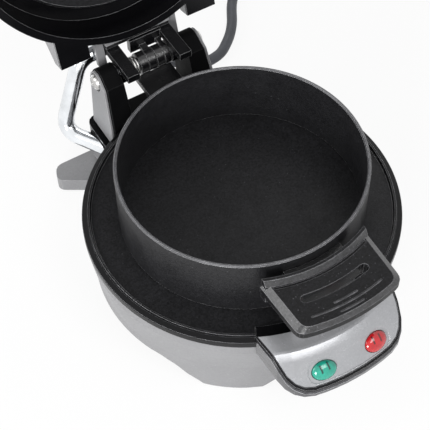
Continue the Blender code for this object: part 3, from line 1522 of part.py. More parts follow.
def ring_handle(parent, plastic, black, steel):
    """The ring's grip with its lip, slot, groove and ridges, and the stem that carries it."""
    tongue_top = HANDLE_BOTTOM - GAP
    tongue_bottom = tongue_top - STEM_TONGUE_THICKNESS
    grip = stacked("ring_handle", [
        (handle_plan(HANDLE_LENGTH, HANDLE_UNDERCUT, HANDLE_UNDERCUT), HANDLE_BOTTOM),
        (handle_plan(HANDLE_LENGTH, 0, 0), HANDLE_BOTTOM + HANDLE_UNDERCUT_RISE),
        (handle_plan(HANDLE_LENGTH, 0, 0), HANDLE_TOP - HANDLE_CHAMFER_DROP),
        (handle_plan(HANDLE_LENGTH, HANDLE_SIDE_CHAMFER, HANDLE_FRONT_CHAMFER), HANDLE_TOP),
    ])
    join(grip, handle_lip(tongue_top))
    slot = prism(
        "slot",
        arc_slot(SLOT_RADIUS, SLOT_HALF_WIDTH, SLOT_WIDTH),
        HANDLE_BOTTOM - OVERRUN,
        HANDLE_TOP + OVERRUN,
    )
    groove_radius = HANDLE_INNER_RADIUS + LIP_LENGTH + GROOVE_WIDTH / 2
    groove = prism(
        "groove",
        arc_slot(groove_radius, GROOVE_HALF_WIDTH, GROOVE_WIDTH),
        HANDLE_TOP - GROOVE_DEPTH,
        HANDLE_TOP + LIP_RISE + OVERRUN,
    )
    cut(grip, slot, groove)
    ridge_widths = (RIDGE_SHORT_HALF_WIDTH, RIDGE_LONG_HALF_WIDTH, RIDGE_SHORT_HALF_WIDTH)
    for number, half_width in enumerate(ridge_widths):
        ridge = prism(
            "ridge",
            arc_slot(HANDLE_OUTER_RADIUS - RIDGE_INREACH - RIDGE_SPACING * number, half_width, RIDGE_WIDTH),
            HANDLE_TOP - RIDGE_HEIGHT,
            HANDLE_TOP + RIDGE_HEIGHT,
        )
        join(grip, ridge)
    finish(grip, parent, plastic)
    stem = ring_segment(
        "ring_handle_stem",
        STEM_HALF_WIDTH,
        RING_RADIUS + GAP,
        HANDLE_INNER_RADIUS - GAP,
        tongue_bottom,
        HANDLE_TOP - STEM_INSET,
        -1,
    )
    tongue = ring_segment(
        "tongue",
        STEM_TONGUE_HALF_WIDTH,
        RING_RADIUS + GAP * 2,
        RING_RADIUS + STEM_TONGUE_REACH,
        tongue_bottom,
        tongue_top,
        -1,
    )
    join(stem, tongue)
    finish(stem, parent, black)
    for side, name in ((-1, "left"), (1, "right")):
        x = side * STEM_SCREW_X
        y = -RING_RADIUS - STEM_SCREW_REACH
        head_top = tongue_bottom - GAP
        screw = rod(
            f"handle_{name}_screw",
            STEM_SCREW_RADIUS,
            (x, y, head_top - STEM_SCREW_HEAD),
            (x, y, head_top),
            SMALL_STEPS,
        )
        finish(screw, parent, steel)


def lid_profile(offset):
    """Half of the lid's section, this far inside its outer face, from the rim to the top."""
    bottom = LID_RIM_BOTTOM + LID_RIM_THICKNESS + GAP
    points = [(LID_RIM_RADIUS - offset, bottom - (OVERRUN if offset else 0))]
    points.append((LID_BELLY_RADIUS - offset, LID_BELLY_HEIGHT))
    start = Vector((LID_BELLY_RADIUS, LID_BELLY_HEIGHT))
    corner = Vector((LID_BELLY_RADIUS, LID_SHOULDER_HEIGHT))
    end = Vector((LID_SHOULDER_RADIUS, LID_SHOULDER_HEIGHT))
    crown = Vector((LID_CROWN_RADIUS, LID_TOP - LID_CROWN_DROP))
    for step in range(1, CORNER_STEPS):
        share = step / CORNER_STEPS
        point = start.lerp(corner, share).lerp(corner.lerp(end, share), share)
        angle = share * LID_SHOULDER_SWEEP
        point = point - Vector((math.cos(angle), math.sin(angle))) * offset
        points.append((point[0], point[1]))
    middle = end.lerp(crown, 1 / 2) + Vector((0, LID_CROWN_DROP))
    for point in (end, middle, crown):
        points.append((point[0] - offset / 2, point[1] - offset))
    return [*points, (0, LID_TOP - offset)]


def notch_block(name, bottom):
    """A cutter for the gap in the lid's rim that the ring's grip passes through."""
    half_width = HANDLE_REAR_HALF_WIDTH + HANDLE_NOTCH_MARGIN
    top = HANDLE_TOP + LIP_RISE + HANDLE_NOTCH_HEADROOM
    near = HANDLE_INNER_RADIUS
    far = LID_BELLY_RADIUS + OVERRUN
    return block(name, (-half_width, -far, bottom), (half_width, -near, top))


def lid_housing(pivot, material):
    """The grey dome, with a lug beside each post, a gusset and the pad for the bracket."""
    outer = lid_profile(0)
    bottom = outer[0][1]
    dome = turned("lid_housing", [(0, bottom), *outer], LARGE_STEPS)
    pad_top = LID_RIM_BOTTOM + PAD_RISE
    pad = block("pad", (-PAD_HALF_WIDTH, LUG_START, bottom), (PAD_HALF_WIDTH, PAD_FACE_Y, pad_top))
    join(dome, pad)
    gusset_inner = ARM_OUTER_X + GUSSET_MARGIN
    gusset_outer = gusset_inner + GUSSET_THICKNESS
    gusset_bottom = LID_RIM_BOTTOM + GUSSET_RISE
    for side in (-1, 1):
        top_front = bottom + LUG_END_THICKNESS + LUG_LENGTH
        outline = [
            Vector((LUG_START, bottom)),
            Vector((LUG_END, bottom)),
            Vector((LUG_END, bottom + LUG_END_THICKNESS)),
            Vector((LUG_START, min(top_front, LID_SHOULDER_HEIGHT))),
        ]
        lug = prism_along_x("lug", outline, side * LUG_INNER_X, side * LUG_OUTER_X)
        make_outward(lug)
        low_x, high_x = sorted((side * gusset_inner, side * gusset_outer))
        gusset = block(
            "gusset",
            (low_x, LUG_START, gusset_bottom),
            (high_x, HINGE_Y - GUSSET_OFFSET, gusset_bottom + GUSSET_HEIGHT),
        )
        join(dome, lug, gusset)
    inner = lid_profile(LID_WALL)
    cavity = turned("cavity", [(0, inner[0][1]), *inner], LARGE_STEPS)
    cut(dome, cavity, notch_block("notch", bottom - OVERRUN))
    return finish(dome, pivot, material)


def lid_inner_cover(pivot, material):
    """The black lining of the lid: flat rim, wall of the recess and plate seat."""
    rim_top = LID_RIM_BOTTOM + LID_RIM_THICKNESS
    recess = LID_RIM_RADIUS - LID_RIM_WIDTH
    wall = recess + RECESS_WALL
    flange_top = RECESS_CEILING + RECESS_FLANGE_THICKNESS
    profile = [
        (recess, LID_RIM_BOTTOM),
        (LID_RIM_RADIUS, LID_RIM_BOTTOM),
        (LID_RIM_RADIUS, rim_top),
        (wall, rim_top),
        (wall - RECESS_TAPER, flange_top),
        (RECESS_FLANGE_RADIUS, flange_top),
        (RECESS_FLANGE_RADIUS, RECESS_CEILING),
        (recess - RECESS_TAPER, RECESS_CEILING),
    ]
    cover = turned("lid_inner_cover", profile, LARGE_STEPS)
    keep_off = recess + RECESS_WALL / 2
    for side in (-1, 1):
        low_x, high_x = sorted((side * LUG_INNER_X, side * LUG_OUTER_X))
        ear = block("ear", (low_x, LUG_START, LID_RIM_BOTTOM), (high_x, LUG_END, rim_top))
        room = turned("room", [(0, 0), (keep_off, 0), (keep_off, LID_TOP), (0, LID_TOP)], LARGE_STEPS)
        join(cover, cut(ear, room))
    cut(cover, notch_block("notch", LID_RIM_BOTTOM - OVERRUN))
    return finish(cover, pivot, material)


def lid_inside(pivot, metals, plastics):
    """Upper plate, element, heat shield and thermostat of the lid."""
    plate_top = RECESS_CEILING - GAP
    profile = [
        (0, UPPER_PLATE_BOTTOM),
        (UPPER_PLATE_RADIUS - UPPER_PLATE_BEVEL, UPPER_PLATE_BOTTOM),
        (UPPER_PLATE_RADIUS, UPPER_PLATE_BOTTOM + UPPER_PLATE_BEVEL),
        (UPPER_PLATE_RADIUS, plate_top),
        (0, plate_top),
    ]
    finish(turned("upper_plate", profile, LARGE_STEPS), pivot, metals["non-stick"])
    element_height = plate_top + GAP + ELEMENT_RADIUS
    element = heating_loop("upper_heating_element", ELEMENT_LOOP_RADIUS, element_height, 0)
    finish(element, pivot, metals["steel"])
    rim_height = RECESS_CEILING + RECESS_FLANGE_THICKNESS + GAP
    rim_radius = LID_RIM_RADIUS - LID_RIM_WIDTH - RECESS_TAPER
    shield = heat_shield("upper_heat_shield", rim_radius, rim_height, 1)
    finish(shield, pivot, metals["aluminium"])
    thermostat = rod(
        "lid_thermostat",
        THERMOSTAT_RADIUS,
        (0, 0, plate_top + GAP),
        (0, 0, plate_top + GAP + LID_THERMOSTAT_HEIGHT),
        SMALL_STEPS,
    )
    finish(thermostat, pivot, plastics["black"])


def lid_handle(pivot, material):
    """The grip in front of the lid, above the ring's grip."""
    path, corners = front_sector(
        LID_HANDLE_INNER_RADIUS,
        LID_HANDLE_OUTER_RADIUS,
        LID_HANDLE_INNER_HALF_WIDTH,
        LID_HANDLE_OUTER_HALF_WIDTH,
    )
    plan = soften(path, corners[2:], LID_HANDLE_CORNER)
    grip = stacked("lid_handle", [
        (inset(plan, LID_HANDLE_CHAMFER), LID_HANDLE_BOTTOM),
        (plan, LID_HANDLE_BOTTOM + LID_HANDLE_CHAMFER),
        (plan, LID_HANDLE_TOP - LID_HANDLE_CHAMFER),
        (inset(plan, LID_HANDLE_CHAMFER), LID_HANDLE_TOP),
    ])
    return finish(grip, pivot, material)


def leaned(name, x_range, offsets, depths):
    """A box in the opened lid's own directions: along the lid from the axis, and into it."""
    obj = block(name, (x_range[0], -offsets[1], depths[0]), (x_range[1], -offsets[0], depths[1]))
    place = Matrix.Translation((0, HINGE_Y, HINGE_HEIGHT))
    obj.data.transform(place @ Matrix.Rotation(-OPEN_ANGLE, 4, "X"))
    return obj


def from_axis(name, x_range, depths, heights):
    """A box whose Y and Z places are measured from the hinge axis."""
    low = (x_range[0], HINGE_Y + depths[0], HINGE_HEIGHT + heights[0])
    high = (x_range[1], HINGE_Y + depths[1], HINGE_HEIGHT + heights[1])
    return block(name, low, high)


def lid_bracket(pivot, black, steel):
    """Two arms, two knuckles, a back plate and the web that the lid is screwed to, when open."""
    bracket = leaned("lid_bracket", (-WEB_HALF_WIDTH, WEB_HALF_WIDTH), WEB_OFFSETS, WEB_DEPTHS)
    for side in (-1, 1):
        x_range = sorted((side * ARM_INNER_X, side * ARM_OUTER_X))
        arm = from_axis("arm", x_range, (ARM_FRONT, ARM_REAR), ARM_HEIGHTS)
        eye = axis_rod("eye", EYE_RADIUS, x_range[0] + EYE_STEP, x_range[1] - EYE_STEP)
        join(bracket, join(arm, eye))
    back_range = (KNUCKLE_START, ARM_INNER_X + EYE_STEP * 2)
    join(bracket, from_axis("back", back_range, BACK_PLATE_DEPTHS, BACK_PLATE_HEIGHTS))
    for start, end in knuckle_places()[1::2]:
        neck = from_axis("neck", (start + EYE_STEP, end - EYE_STEP), NECK_DEPTHS, NECK_HEIGHTS)
        join(bracket, join(neck, axis_rod("knuckle", KNUCKLE_RADIUS, start, end)))
    cut(bracket, shaft_bore("bore", -POST_INNER_X - OVERRUN, POST_INNER_X + OVERRUN))
    finish(bracket, pivot, black)
    for side, name in ((-1, "left"), (1, "right")):
        head = WEB_OFFSETS[0] - GAP
        screw = rod(
            f"lid_bracket_{name}_screw",
            WEB_SCREW_RADIUS,
            (side * WEB_SCREW_X, -head, WEB_SCREW_DEPTH),
            (side * WEB_SCREW_X, WEB_SCREW_HEAD - head, WEB_SCREW_DEPTH),
            SMALL_STEPS,
        )
        place = Matrix.Translation((0, HINGE_Y, HINGE_HEIGHT))
        screw.data.transform(place @ Matrix.Rotation(-OPEN_ANGLE, 4, "X"))
        finish(screw, pivot, steel)


def conduit_corners():
    """The corners of the conduit, from inside the base to its end under the opened lid."""
    height = DECK_TOP - CONDUIT_DROP
    entry_x = -BLOCK_HALF_WIDTH + CONDUIT_ENTRY_INSET
    low_x = -BLOCK_HALF_WIDTH - CONDUIT_LOW_REACH
    high_y = HINGE_Y + CONDUIT_HIGH_DEPTH
    high_z = HINGE_HEIGHT + CONDUIT_HIGH_RISE
    return [
        Vector((entry_x, HINGE_Y + CONDUIT_ENTRY_DEPTH, height)),
        Vector((low_x, HINGE_Y + CONDUIT_LOW_DEPTH, height)),
        Vector((-CONDUIT_HIGH_X, high_y, high_z)),
        Vector((-CONDUIT_END_X, high_y, high_z)),
    ]


def conduit_bore(name):
    """A cutter along the conduit's first run, for the holes that it passes through."""
    start, end = conduit_corners()[:2]
    beyond = start + (start - end).normalized() * OVERRUN
    return rod(name, CONDUIT_RADIUS + HOLE_CLEARANCE, beyond, end, MEDIUM_STEPS)


def wiring_conduit(parent, chrome, rubber):
    """The bright bent conduit behind the hinge, with its grommet and the bushing in its end."""
    corners = conduit_corners()
    points = rounded_path(corners, (CONDUIT_LOW_BEND, CONDUIT_HIGH_BEND), CONDUIT_BEND_STEPS)
    finish(tube_mesh("wiring_conduit", points, CONDUIT_RADIUS, SMALL_STEPS), parent, chrome)
    start, end = corners[:2]
    wall_x = -BLOCK_HALF_WIDTH - GAP
    middle = start.lerp(end, (wall_x - start.x) / (end.x - start.x))
    top = min(middle.z + GROMMET_HALF_HEIGHT, DECK_TOP - DECK_THICKNESS - GAP)
    low = middle.z - GROMMET_HALF_HEIGHT
    outline = [
        Vector((middle.y - GROMMET_HALF_LENGTH, low)),
        Vector((middle.y + GROMMET_HALF_LENGTH, low)),
        Vector((middle.y + GROMMET_HALF_LENGTH, top)),
        Vector((middle.y - GROMMET_HALF_LENGTH, top)),
    ]
    outline = soften(outline, (0, 1, 2, 3), GROMMET_CORNER)
    grommet = prism_along_x("conduit_grommet", outline, wall_x, wall_x - GROMMET_THICKNESS)
    make_outward(grommet)
    cut(grommet, conduit_bore("bore"))
    finish(grommet, parent, rubber)
    seat = corners[-1] + Vector((GAP, 0, 0))
    beyond = seat + Vector((BUSHING_LENGTH, 0, 0))
    bushing = rod("conduit_bushing", BUSHING_RADIUS, seat, beyond, SMALL_STEPS)
    finish(bushing, parent, rubber)


def relief_bore():
    """A cutter for the hole behind the base that the lead leaves through."""
    radius = RELIEF_ROOT_RADIUS + HOLE_CLEARANCE
    start = (RELIEF_X, BLOCK_REAR - HOUSING_WALL - OVERRUN, RELIEF_HEIGHT)
    end = (RELIEF_X, BLOCK_REAR + OVERRUN, RELIEF_HEIGHT)
    return rod("bore", radius, start, end, SMALL_STEPS)


def cord_route():
    """The points that the lead passes, from its gland to the start of the coil."""
    exit_point = Vector((RELIEF_X, CORD_EXIT_Y, RELIEF_HEIGHT))
    route = [exit_point, exit_point + Vector((0, CORD_RADIUS * 2, 0))]
    for across, back, height in CORD_BENDS:
        route.append(Vector((RELIEF_X + across, CORD_EXIT_Y + back, height)))
    return route


def squared_ends(route):
    """The lead's points, with one more near each end so that it ends square to its route."""
    points = smooth_route(route, CORD_STEP)
    first = (route[1] - route[0]).normalized() * CORD_RADIUS
    last = (route[-2] - route[-1]).normalized() * CORD_RADIUS
    return [points[0], points[0] + first, *points[1:-1], points[-1] + last, points[-1]]


def coil_points():
    """Two flat layers of turns: spiralling in on the floor, then out again on top."""
    points = []
    turns = COIL_TURNS_PER_LAYER
    total = round(COIL_POINTS_PER_TURN * turns * 2)
    climb_share = 1 / (turns * 4)
    for step in range(total + 1):
        share = step / total
        inward = turns * (1 - abs(2 * share - 1))
        radius = COIL_RADIUS + COIL_PITCH * (turns / 2 - inward)
        angle = math.tau * turns * 2 * share
        climb = min(1, max(0, (share - 1 / 2 + climb_share / 2) / climb_share))
        eased = climb * climb * (3 - 2 * climb)
        height = CORD_RADIUS + CORD_LIFT + COIL_LAYER_RISE * eased
        x = COIL_CENTRE[0] + radius * math.cos(angle)
        y = COIL_CENTRE[1] + radius * math.sin(angle)
        points.append(Vector((x, y, height)))
    return points


def straight_end(points, length):
    """Adds a straight run of this length in front of the first point."""
    along = (points[0] - points[1]).normalized()
    along.z = 0
    return [points[0] + along.normalized() * length, *points]


def self_gap(points, radius):
    """The least gap between two stretches of a wound tube that aren't neighbours along it."""
    least = math.inf
    apart = SPRING_POINTS_PER_TURN // 2
    for index, point in enumerate(points):
        for other in points[index + apart:]:
            least = min(least, (point - other).length)
    return least - radius * 2


def mains_lead(parent, plastics, metals):
    """Strain relief, free lead, coil with its tie, and the plug."""
    relief = turned("cord_strain_relief", [
        (0, 0),
        (RELIEF_COLLAR_RADIUS, 0),
        (RELIEF_COLLAR_RADIUS, RELIEF_COLLAR_THICKNESS),
        (RELIEF_ROOT_RADIUS, RELIEF_COLLAR_THICKNESS),
        (RELIEF_TIP_RADIUS, RELIEF_LENGTH),
        (0, RELIEF_LENGTH),
    ], SMALL_STEPS)
    place = Matrix.Translation((RELIEF_X, BLOCK_REAR + GAP, RELIEF_HEIGHT))
    relief.data.transform(place @ Matrix.Rotation(math.radians(-90), 4, "X"))
    finish(relief, parent, plastics["cord"])
    coil = straight_end(coil_points(), CORD_RADIUS * 2)
    print(f"least gap between the coil's turns: {self_gap(coil, CORD_RADIUS) * 1000:.2f} mm")
    coil.append(coil[-1] + (coil[-1] - coil[-2]).normalized() * CORD_RADIUS * 2)
    start_direction = (coil[0] - coil[1]).normalized()
    route = cord_route()
    route.append(coil[0] + start_direction * (CORD_RADIUS * 6))
    route.append(coil[0] + start_direction * GAP)
    lead = curve_tube("power_cord", squared_ends(route), CORD_RADIUS, CORD_SIDE_RESOLUTION)
    finish(lead, parent, plastics["cord"])
    wound = curve_tube("power_cord_coil", coil, CORD_RADIUS, COIL_SIDE_RESOLUTION)
    finish(wound, parent, plastics["cord"])
    plug(parent, plastics["cord"], metals["steel"], coil[-1], (coil[-1] - coil[-2]).normalized())
    coil_tie(parent, plastics["black"])


def plug(parent, plastic, steel, start, direction):
    """A two-pin plug on the end of the coil."""
    along = Vector((direction.x, direction.y, 0)).normalized()
    body = turned("mains_plug", [
        (0, 0),
        (PLUG_NECK_RADIUS, 0),
        (PLUG_NECK_RADIUS, PLUG_NECK_LENGTH),
        (PLUG_SHOULDER_RADIUS, PLUG_SHOULDER_LENGTH),
        (PLUG_RADIUS, PLUG_LENGTH - PLUG_NECK_RADIUS),
        (PLUG_RADIUS, PLUG_LENGTH),
        (0, PLUG_LENGTH),
    ], SMALL_STEPS)
    turn = along.to_track_quat("Z", "Y").to_matrix().to_4x4()
    place = Matrix.Translation(start + along * GAP) @ turn
    body.data.transform(place @ Matrix.Diagonal((1, PLUG_FLATNESS, 1, 1)))
    finish(body, parent, plastic)
    width, length, height = PIN_SIZE
    for side, name in ((-1, "left"), (1, "right")):
        middle = side * PIN_SPACING / 2
        low = (middle - width / 2, -height / 2, PLUG_LENGTH + GAP)
        high = (middle + width / 2, height / 2, PLUG_LENGTH + GAP + length)
        pin = block(f"plug_{name}_pin", low, high)
        pin.data.transform(place)
        finish(pin, parent, steel)


def coil_tie(parent, material):
    """A strap round all the turns on the far side of the coil."""
    half_band = COIL_PITCH * (COIL_TURNS_PER_LAYER + 1) / 2 + CORD_RADIUS + TIE_MARGIN
    top = CORD_RADIUS * 2 + COIL_LAYER_RISE + TIE_MARGIN
    y = COIL_CENTRE[1]
    centre_x = COIL_CENTRE[0] - COIL_RADIUS
    outer = block(
        "cord_tie",
        (centre_x - half_band - TIE_THICKNESS, y - TIE_WIDTH / 2, TIE_MARGIN / 2),
        (centre_x + half_band + TIE_THICKNESS, y + TIE_WIDTH / 2, top + TIE_THICKNESS),
    )
    inner = block(
        "inner",
        (centre_x - half_band, y - TIE_WIDTH, -OVERRUN),
        (centre_x + half_band, y + TIE_WIDTH, top),
    )
    cut(outer, inner)
    finish(outer, parent, material)


def empty(name, location, parent=None):
    """An empty that carries other objects."""
    obj = bpy.data.objects.new(name, None)
    obj.location = location
    obj.parent = parent
    bpy.context.scene.collection.objects.link(obj)
    return obj


def hang(pivot, closed_angle):
    """Puts what was modelled about the ring's axis on a pivot at the hinge."""
    axis = Matrix.Translation((0, HINGE_Y, HINGE_HEIGHT))
    for child in list(pivot.children):
        child.matrix_parent_inverse = (axis @ Matrix.Rotation(closed_angle, 4, "X")).inverted()
    pivot.location = (0, HINGE_Y, HINGE_HEIGHT)


def middle_of_depth():
    """Half way between the front handle and the farthest point of the opened lid."""
    farthest = 0
    points = [(radius, height) for radius, height in lid_profile(0)]
    points.append((LID_HANDLE_OUTER_RADIUS, LID_HANDLE_TOP - LID_HANDLE_CHAMFER))
    points.append((LID_HANDLE_OUTER_RADIUS - LID_HANDLE_CHAMFER, LID_HANDLE_TOP))
    for radius, height in points:
        forward = HINGE_Y + radius
        up = height - HINGE_HEIGHT
        reach = HINGE_Y - forward * math.cos(OPEN_ANGLE) + up * math.sin(OPEN_ANGLE)
        farthest = max(farthest, reach)
    return (farthest - BODY_FRONT_RADIUS) / 2


def main():
    """Builds every sub-part and hangs the moving ones on the hinge."""
    clear_scene()
    plastics = {
        "grey": make_material("silver-grey plastic", (0.32, 0.32, 0.33), 0.38, 0.35),
        "silver": make_material("silver lacquer", (0.48, 0.49, 0.51), 0.3, 0.5),
        "black": make_material("black gloss plastic", (0.012, 0.012, 0.013), 0.22, 0.0),
        "textured": make_material("black textured plastic", (0.03, 0.03, 0.032), 0.5, 0.0),
        "smoke": make_material("smoked plastic", (0.09, 0.09, 0.095), 0.15, 0.0),
        "white": make_material("white insulator", (0.7, 0.69, 0.66), 0.6, 0.0),
        "rubber": make_material("rubber", (0.02, 0.02, 0.02), 0.8, 0.0),
        "cord": make_material("grey cord plastic", (0.07, 0.07, 0.08), 0.5, 0.0),
        "green lens": make_material("green lens", (0.02, 0.45, 0.3), 0.15, 0.0),
        "red lens": make_material("red lens", (0.55, 0.01, 0.02), 0.15, 0.0),
    }
    metals = {
        "non-stick": make_material("non-stick aluminium", (0.014, 0.014, 0.015), 0.5, 0.1),
        "black": make_material("black enamelled steel", (0.015, 0.015, 0.016), 0.35, 0.1),
        "steel": make_material("bright steel", (0.6, 0.6, 0.6), 0.3, 1.0),
        "chrome": make_material("chrome", (0.8, 0.8, 0.8), 0.08, 1.0),
        "aluminium": make_material("aluminium", (0.65, 0.65, 0.65), 0.4, 1.0),
    }
    appliance = empty("appliance", (0, -middle_of_depth(), 0))
    base_housing(appliance, plastics["grey"])
    top_cover(appliance, plastics["black"])
    lower_plate(appliance, metals["non-stick"])
    base_heating(appliance, metals, plastics)
    bottom_cover(appliance, plastics, metals)
    front_handle(appliance, plastics)
    lamps(appliance, plastics)
    hinge_posts(appliance, plastics, metals)
    hinge_spring(appliance, metals["chrome"])
    wiring_conduit(appliance, metals["chrome"], plastics["rubber"])
    mains_lead(appliance, plastics, metals)

    ring_pivot = empty("ring_pivot", (0, 0, 0), appliance)
    cooking_ring(ring_pivot, metals["non-stick"])
    ring_bracket(ring_pivot, metals["black"], metals["steel"])
    ring_handle(ring_pivot, plastics["textured"], metals["black"], metals["steel"])
    hang(ring_pivot, 0)

    lid_pivot = empty("lid_pivot", (0, 0, 0), appliance)
    lid_bracket(lid_pivot, metals["black"], metals["steel"])
    hang(lid_pivot, -OPEN_ANGLE)
    made_open = set(lid_pivot.children)
    lid_housing(lid_pivot, plastics["grey"])
    lid_inner_cover(lid_pivot, plastics["black"])
    lid_inside(lid_pivot, metals, plastics)
    lid_handle(lid_pivot, plastics["textured"])
    axis = Matrix.Translation((0, HINGE_Y, HINGE_HEIGHT))
    for child in lid_pivot.children:
        if child not in made_open:
            child.matrix_parent_inverse = axis.inverted()
    lid_pivot.rotation_euler.x = -OPEN_ANGLE


if __name__ == "__main__":
    main()
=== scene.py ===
"""A burger maker with its lid open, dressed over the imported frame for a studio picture."""

import json
import logging
import math
from dataclasses import dataclass, field
from enum import Enum
from typing import Any

import bmesh
import bpy
from mathutils import Matrix, Vector, kdtree

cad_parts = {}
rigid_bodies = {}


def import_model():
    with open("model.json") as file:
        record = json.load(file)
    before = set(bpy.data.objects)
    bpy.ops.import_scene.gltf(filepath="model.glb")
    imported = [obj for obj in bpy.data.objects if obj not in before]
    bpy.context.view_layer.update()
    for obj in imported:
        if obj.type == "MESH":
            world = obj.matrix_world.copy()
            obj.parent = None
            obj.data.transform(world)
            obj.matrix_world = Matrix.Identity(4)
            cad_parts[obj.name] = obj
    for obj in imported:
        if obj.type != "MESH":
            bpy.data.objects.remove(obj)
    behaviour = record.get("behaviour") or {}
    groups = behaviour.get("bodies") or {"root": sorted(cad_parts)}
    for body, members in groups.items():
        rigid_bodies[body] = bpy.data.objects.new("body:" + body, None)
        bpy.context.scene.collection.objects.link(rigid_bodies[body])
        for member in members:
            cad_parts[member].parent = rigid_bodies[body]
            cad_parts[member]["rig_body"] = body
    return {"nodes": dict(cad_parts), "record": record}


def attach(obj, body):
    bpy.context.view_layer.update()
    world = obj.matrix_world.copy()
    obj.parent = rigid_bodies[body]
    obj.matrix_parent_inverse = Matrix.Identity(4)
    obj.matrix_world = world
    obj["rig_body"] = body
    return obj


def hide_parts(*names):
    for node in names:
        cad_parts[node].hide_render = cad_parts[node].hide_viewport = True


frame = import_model()

log = logging.getLogger("burger_maker")

MM = 0.001
# Limits for working on meshes, in metres and radians
MERGE_WITHIN = 0.002 * MM
FLAT_WITHIN = math.radians(0.15)
ROUNDED_FROM = math.radians(32)
LEVEL_WITHIN = 0.01 * MM
LEAST_ARC_RADIUS = 20 * MM
WIDEST_ARC_STEP = math.radians(9.5)
SAME_POINT = 0.001 * MM
CURVE_STEPS = 12
TURNED_CREASE = math.radians(25)
BEVEL_SLOPES = (0.2, 0.97)
# What part of a noise's range its values fall in
NOISE_LOW, NOISE_HIGH = 0.3, 0.7
UP = Vector((0.0, 0.0, 1.0))
SHIFT_Y = -0.0369928
RING_CENTRE = Vector((0.0, SHIFT_Y, 0.0))
HINGE = Vector((0.0, 0.0675072, 0.079))
LID_OPEN = math.radians(105)
STANDING = Matrix.Translation(RING_CENTRE)
AT_HINGE = Matrix.Translation(HINGE)
OPENED = AT_HINGE @ Matrix.Rotation(-LID_OPEN, 4, "X") @ AT_HINGE.inverted() @ STANDING
SLOTS = {entry["node"]: entry["material_slot"] for entry in frame["record"]["subparts"]}


def linear(code: str) -> tuple[float, float, float, float]:
    """Turn an sRGB colour written as hex into linear light.

    Args:
        code: six hex digits.

    Returns:
        The linear red, green and blue, and 1 for a solid colour.
    """
    parts = [int(code[start:start + 2], 16) / 255 for start in (0, 2, 4)]
    light = [part / 12.92 if part <= 0.04045 else ((part + 0.055) / 1.055) ** 2.4 for part in parts]
    return light[0], light[1], light[2], 1.0


def add_node(
    tree: bpy.types.NodeTree,
    kind: str,
    inputs: dict[str | int, Any] | None = None,
    **settings: Any,
) -> bpy.types.Node:
    """Add a node, make its settings, and fill or link its inputs.

    Args:
        tree: the node tree that gets the node.
        kind: Blender's name for the node's type.
        inputs: a value, or another node's output, for each input by name or number.
        settings: the node's own settings.

    Returns:
        The new node.
    """
    node = tree.nodes.new(kind)
    for name, value in settings.items():
        setattr(node, name, value)
    for key, value in (inputs or {}).items():
        if isinstance(value, bpy.types.NodeSocket):
            tree.links.new(value, node.inputs[key])
        else:
            node.inputs[key].default_value = value
    return node


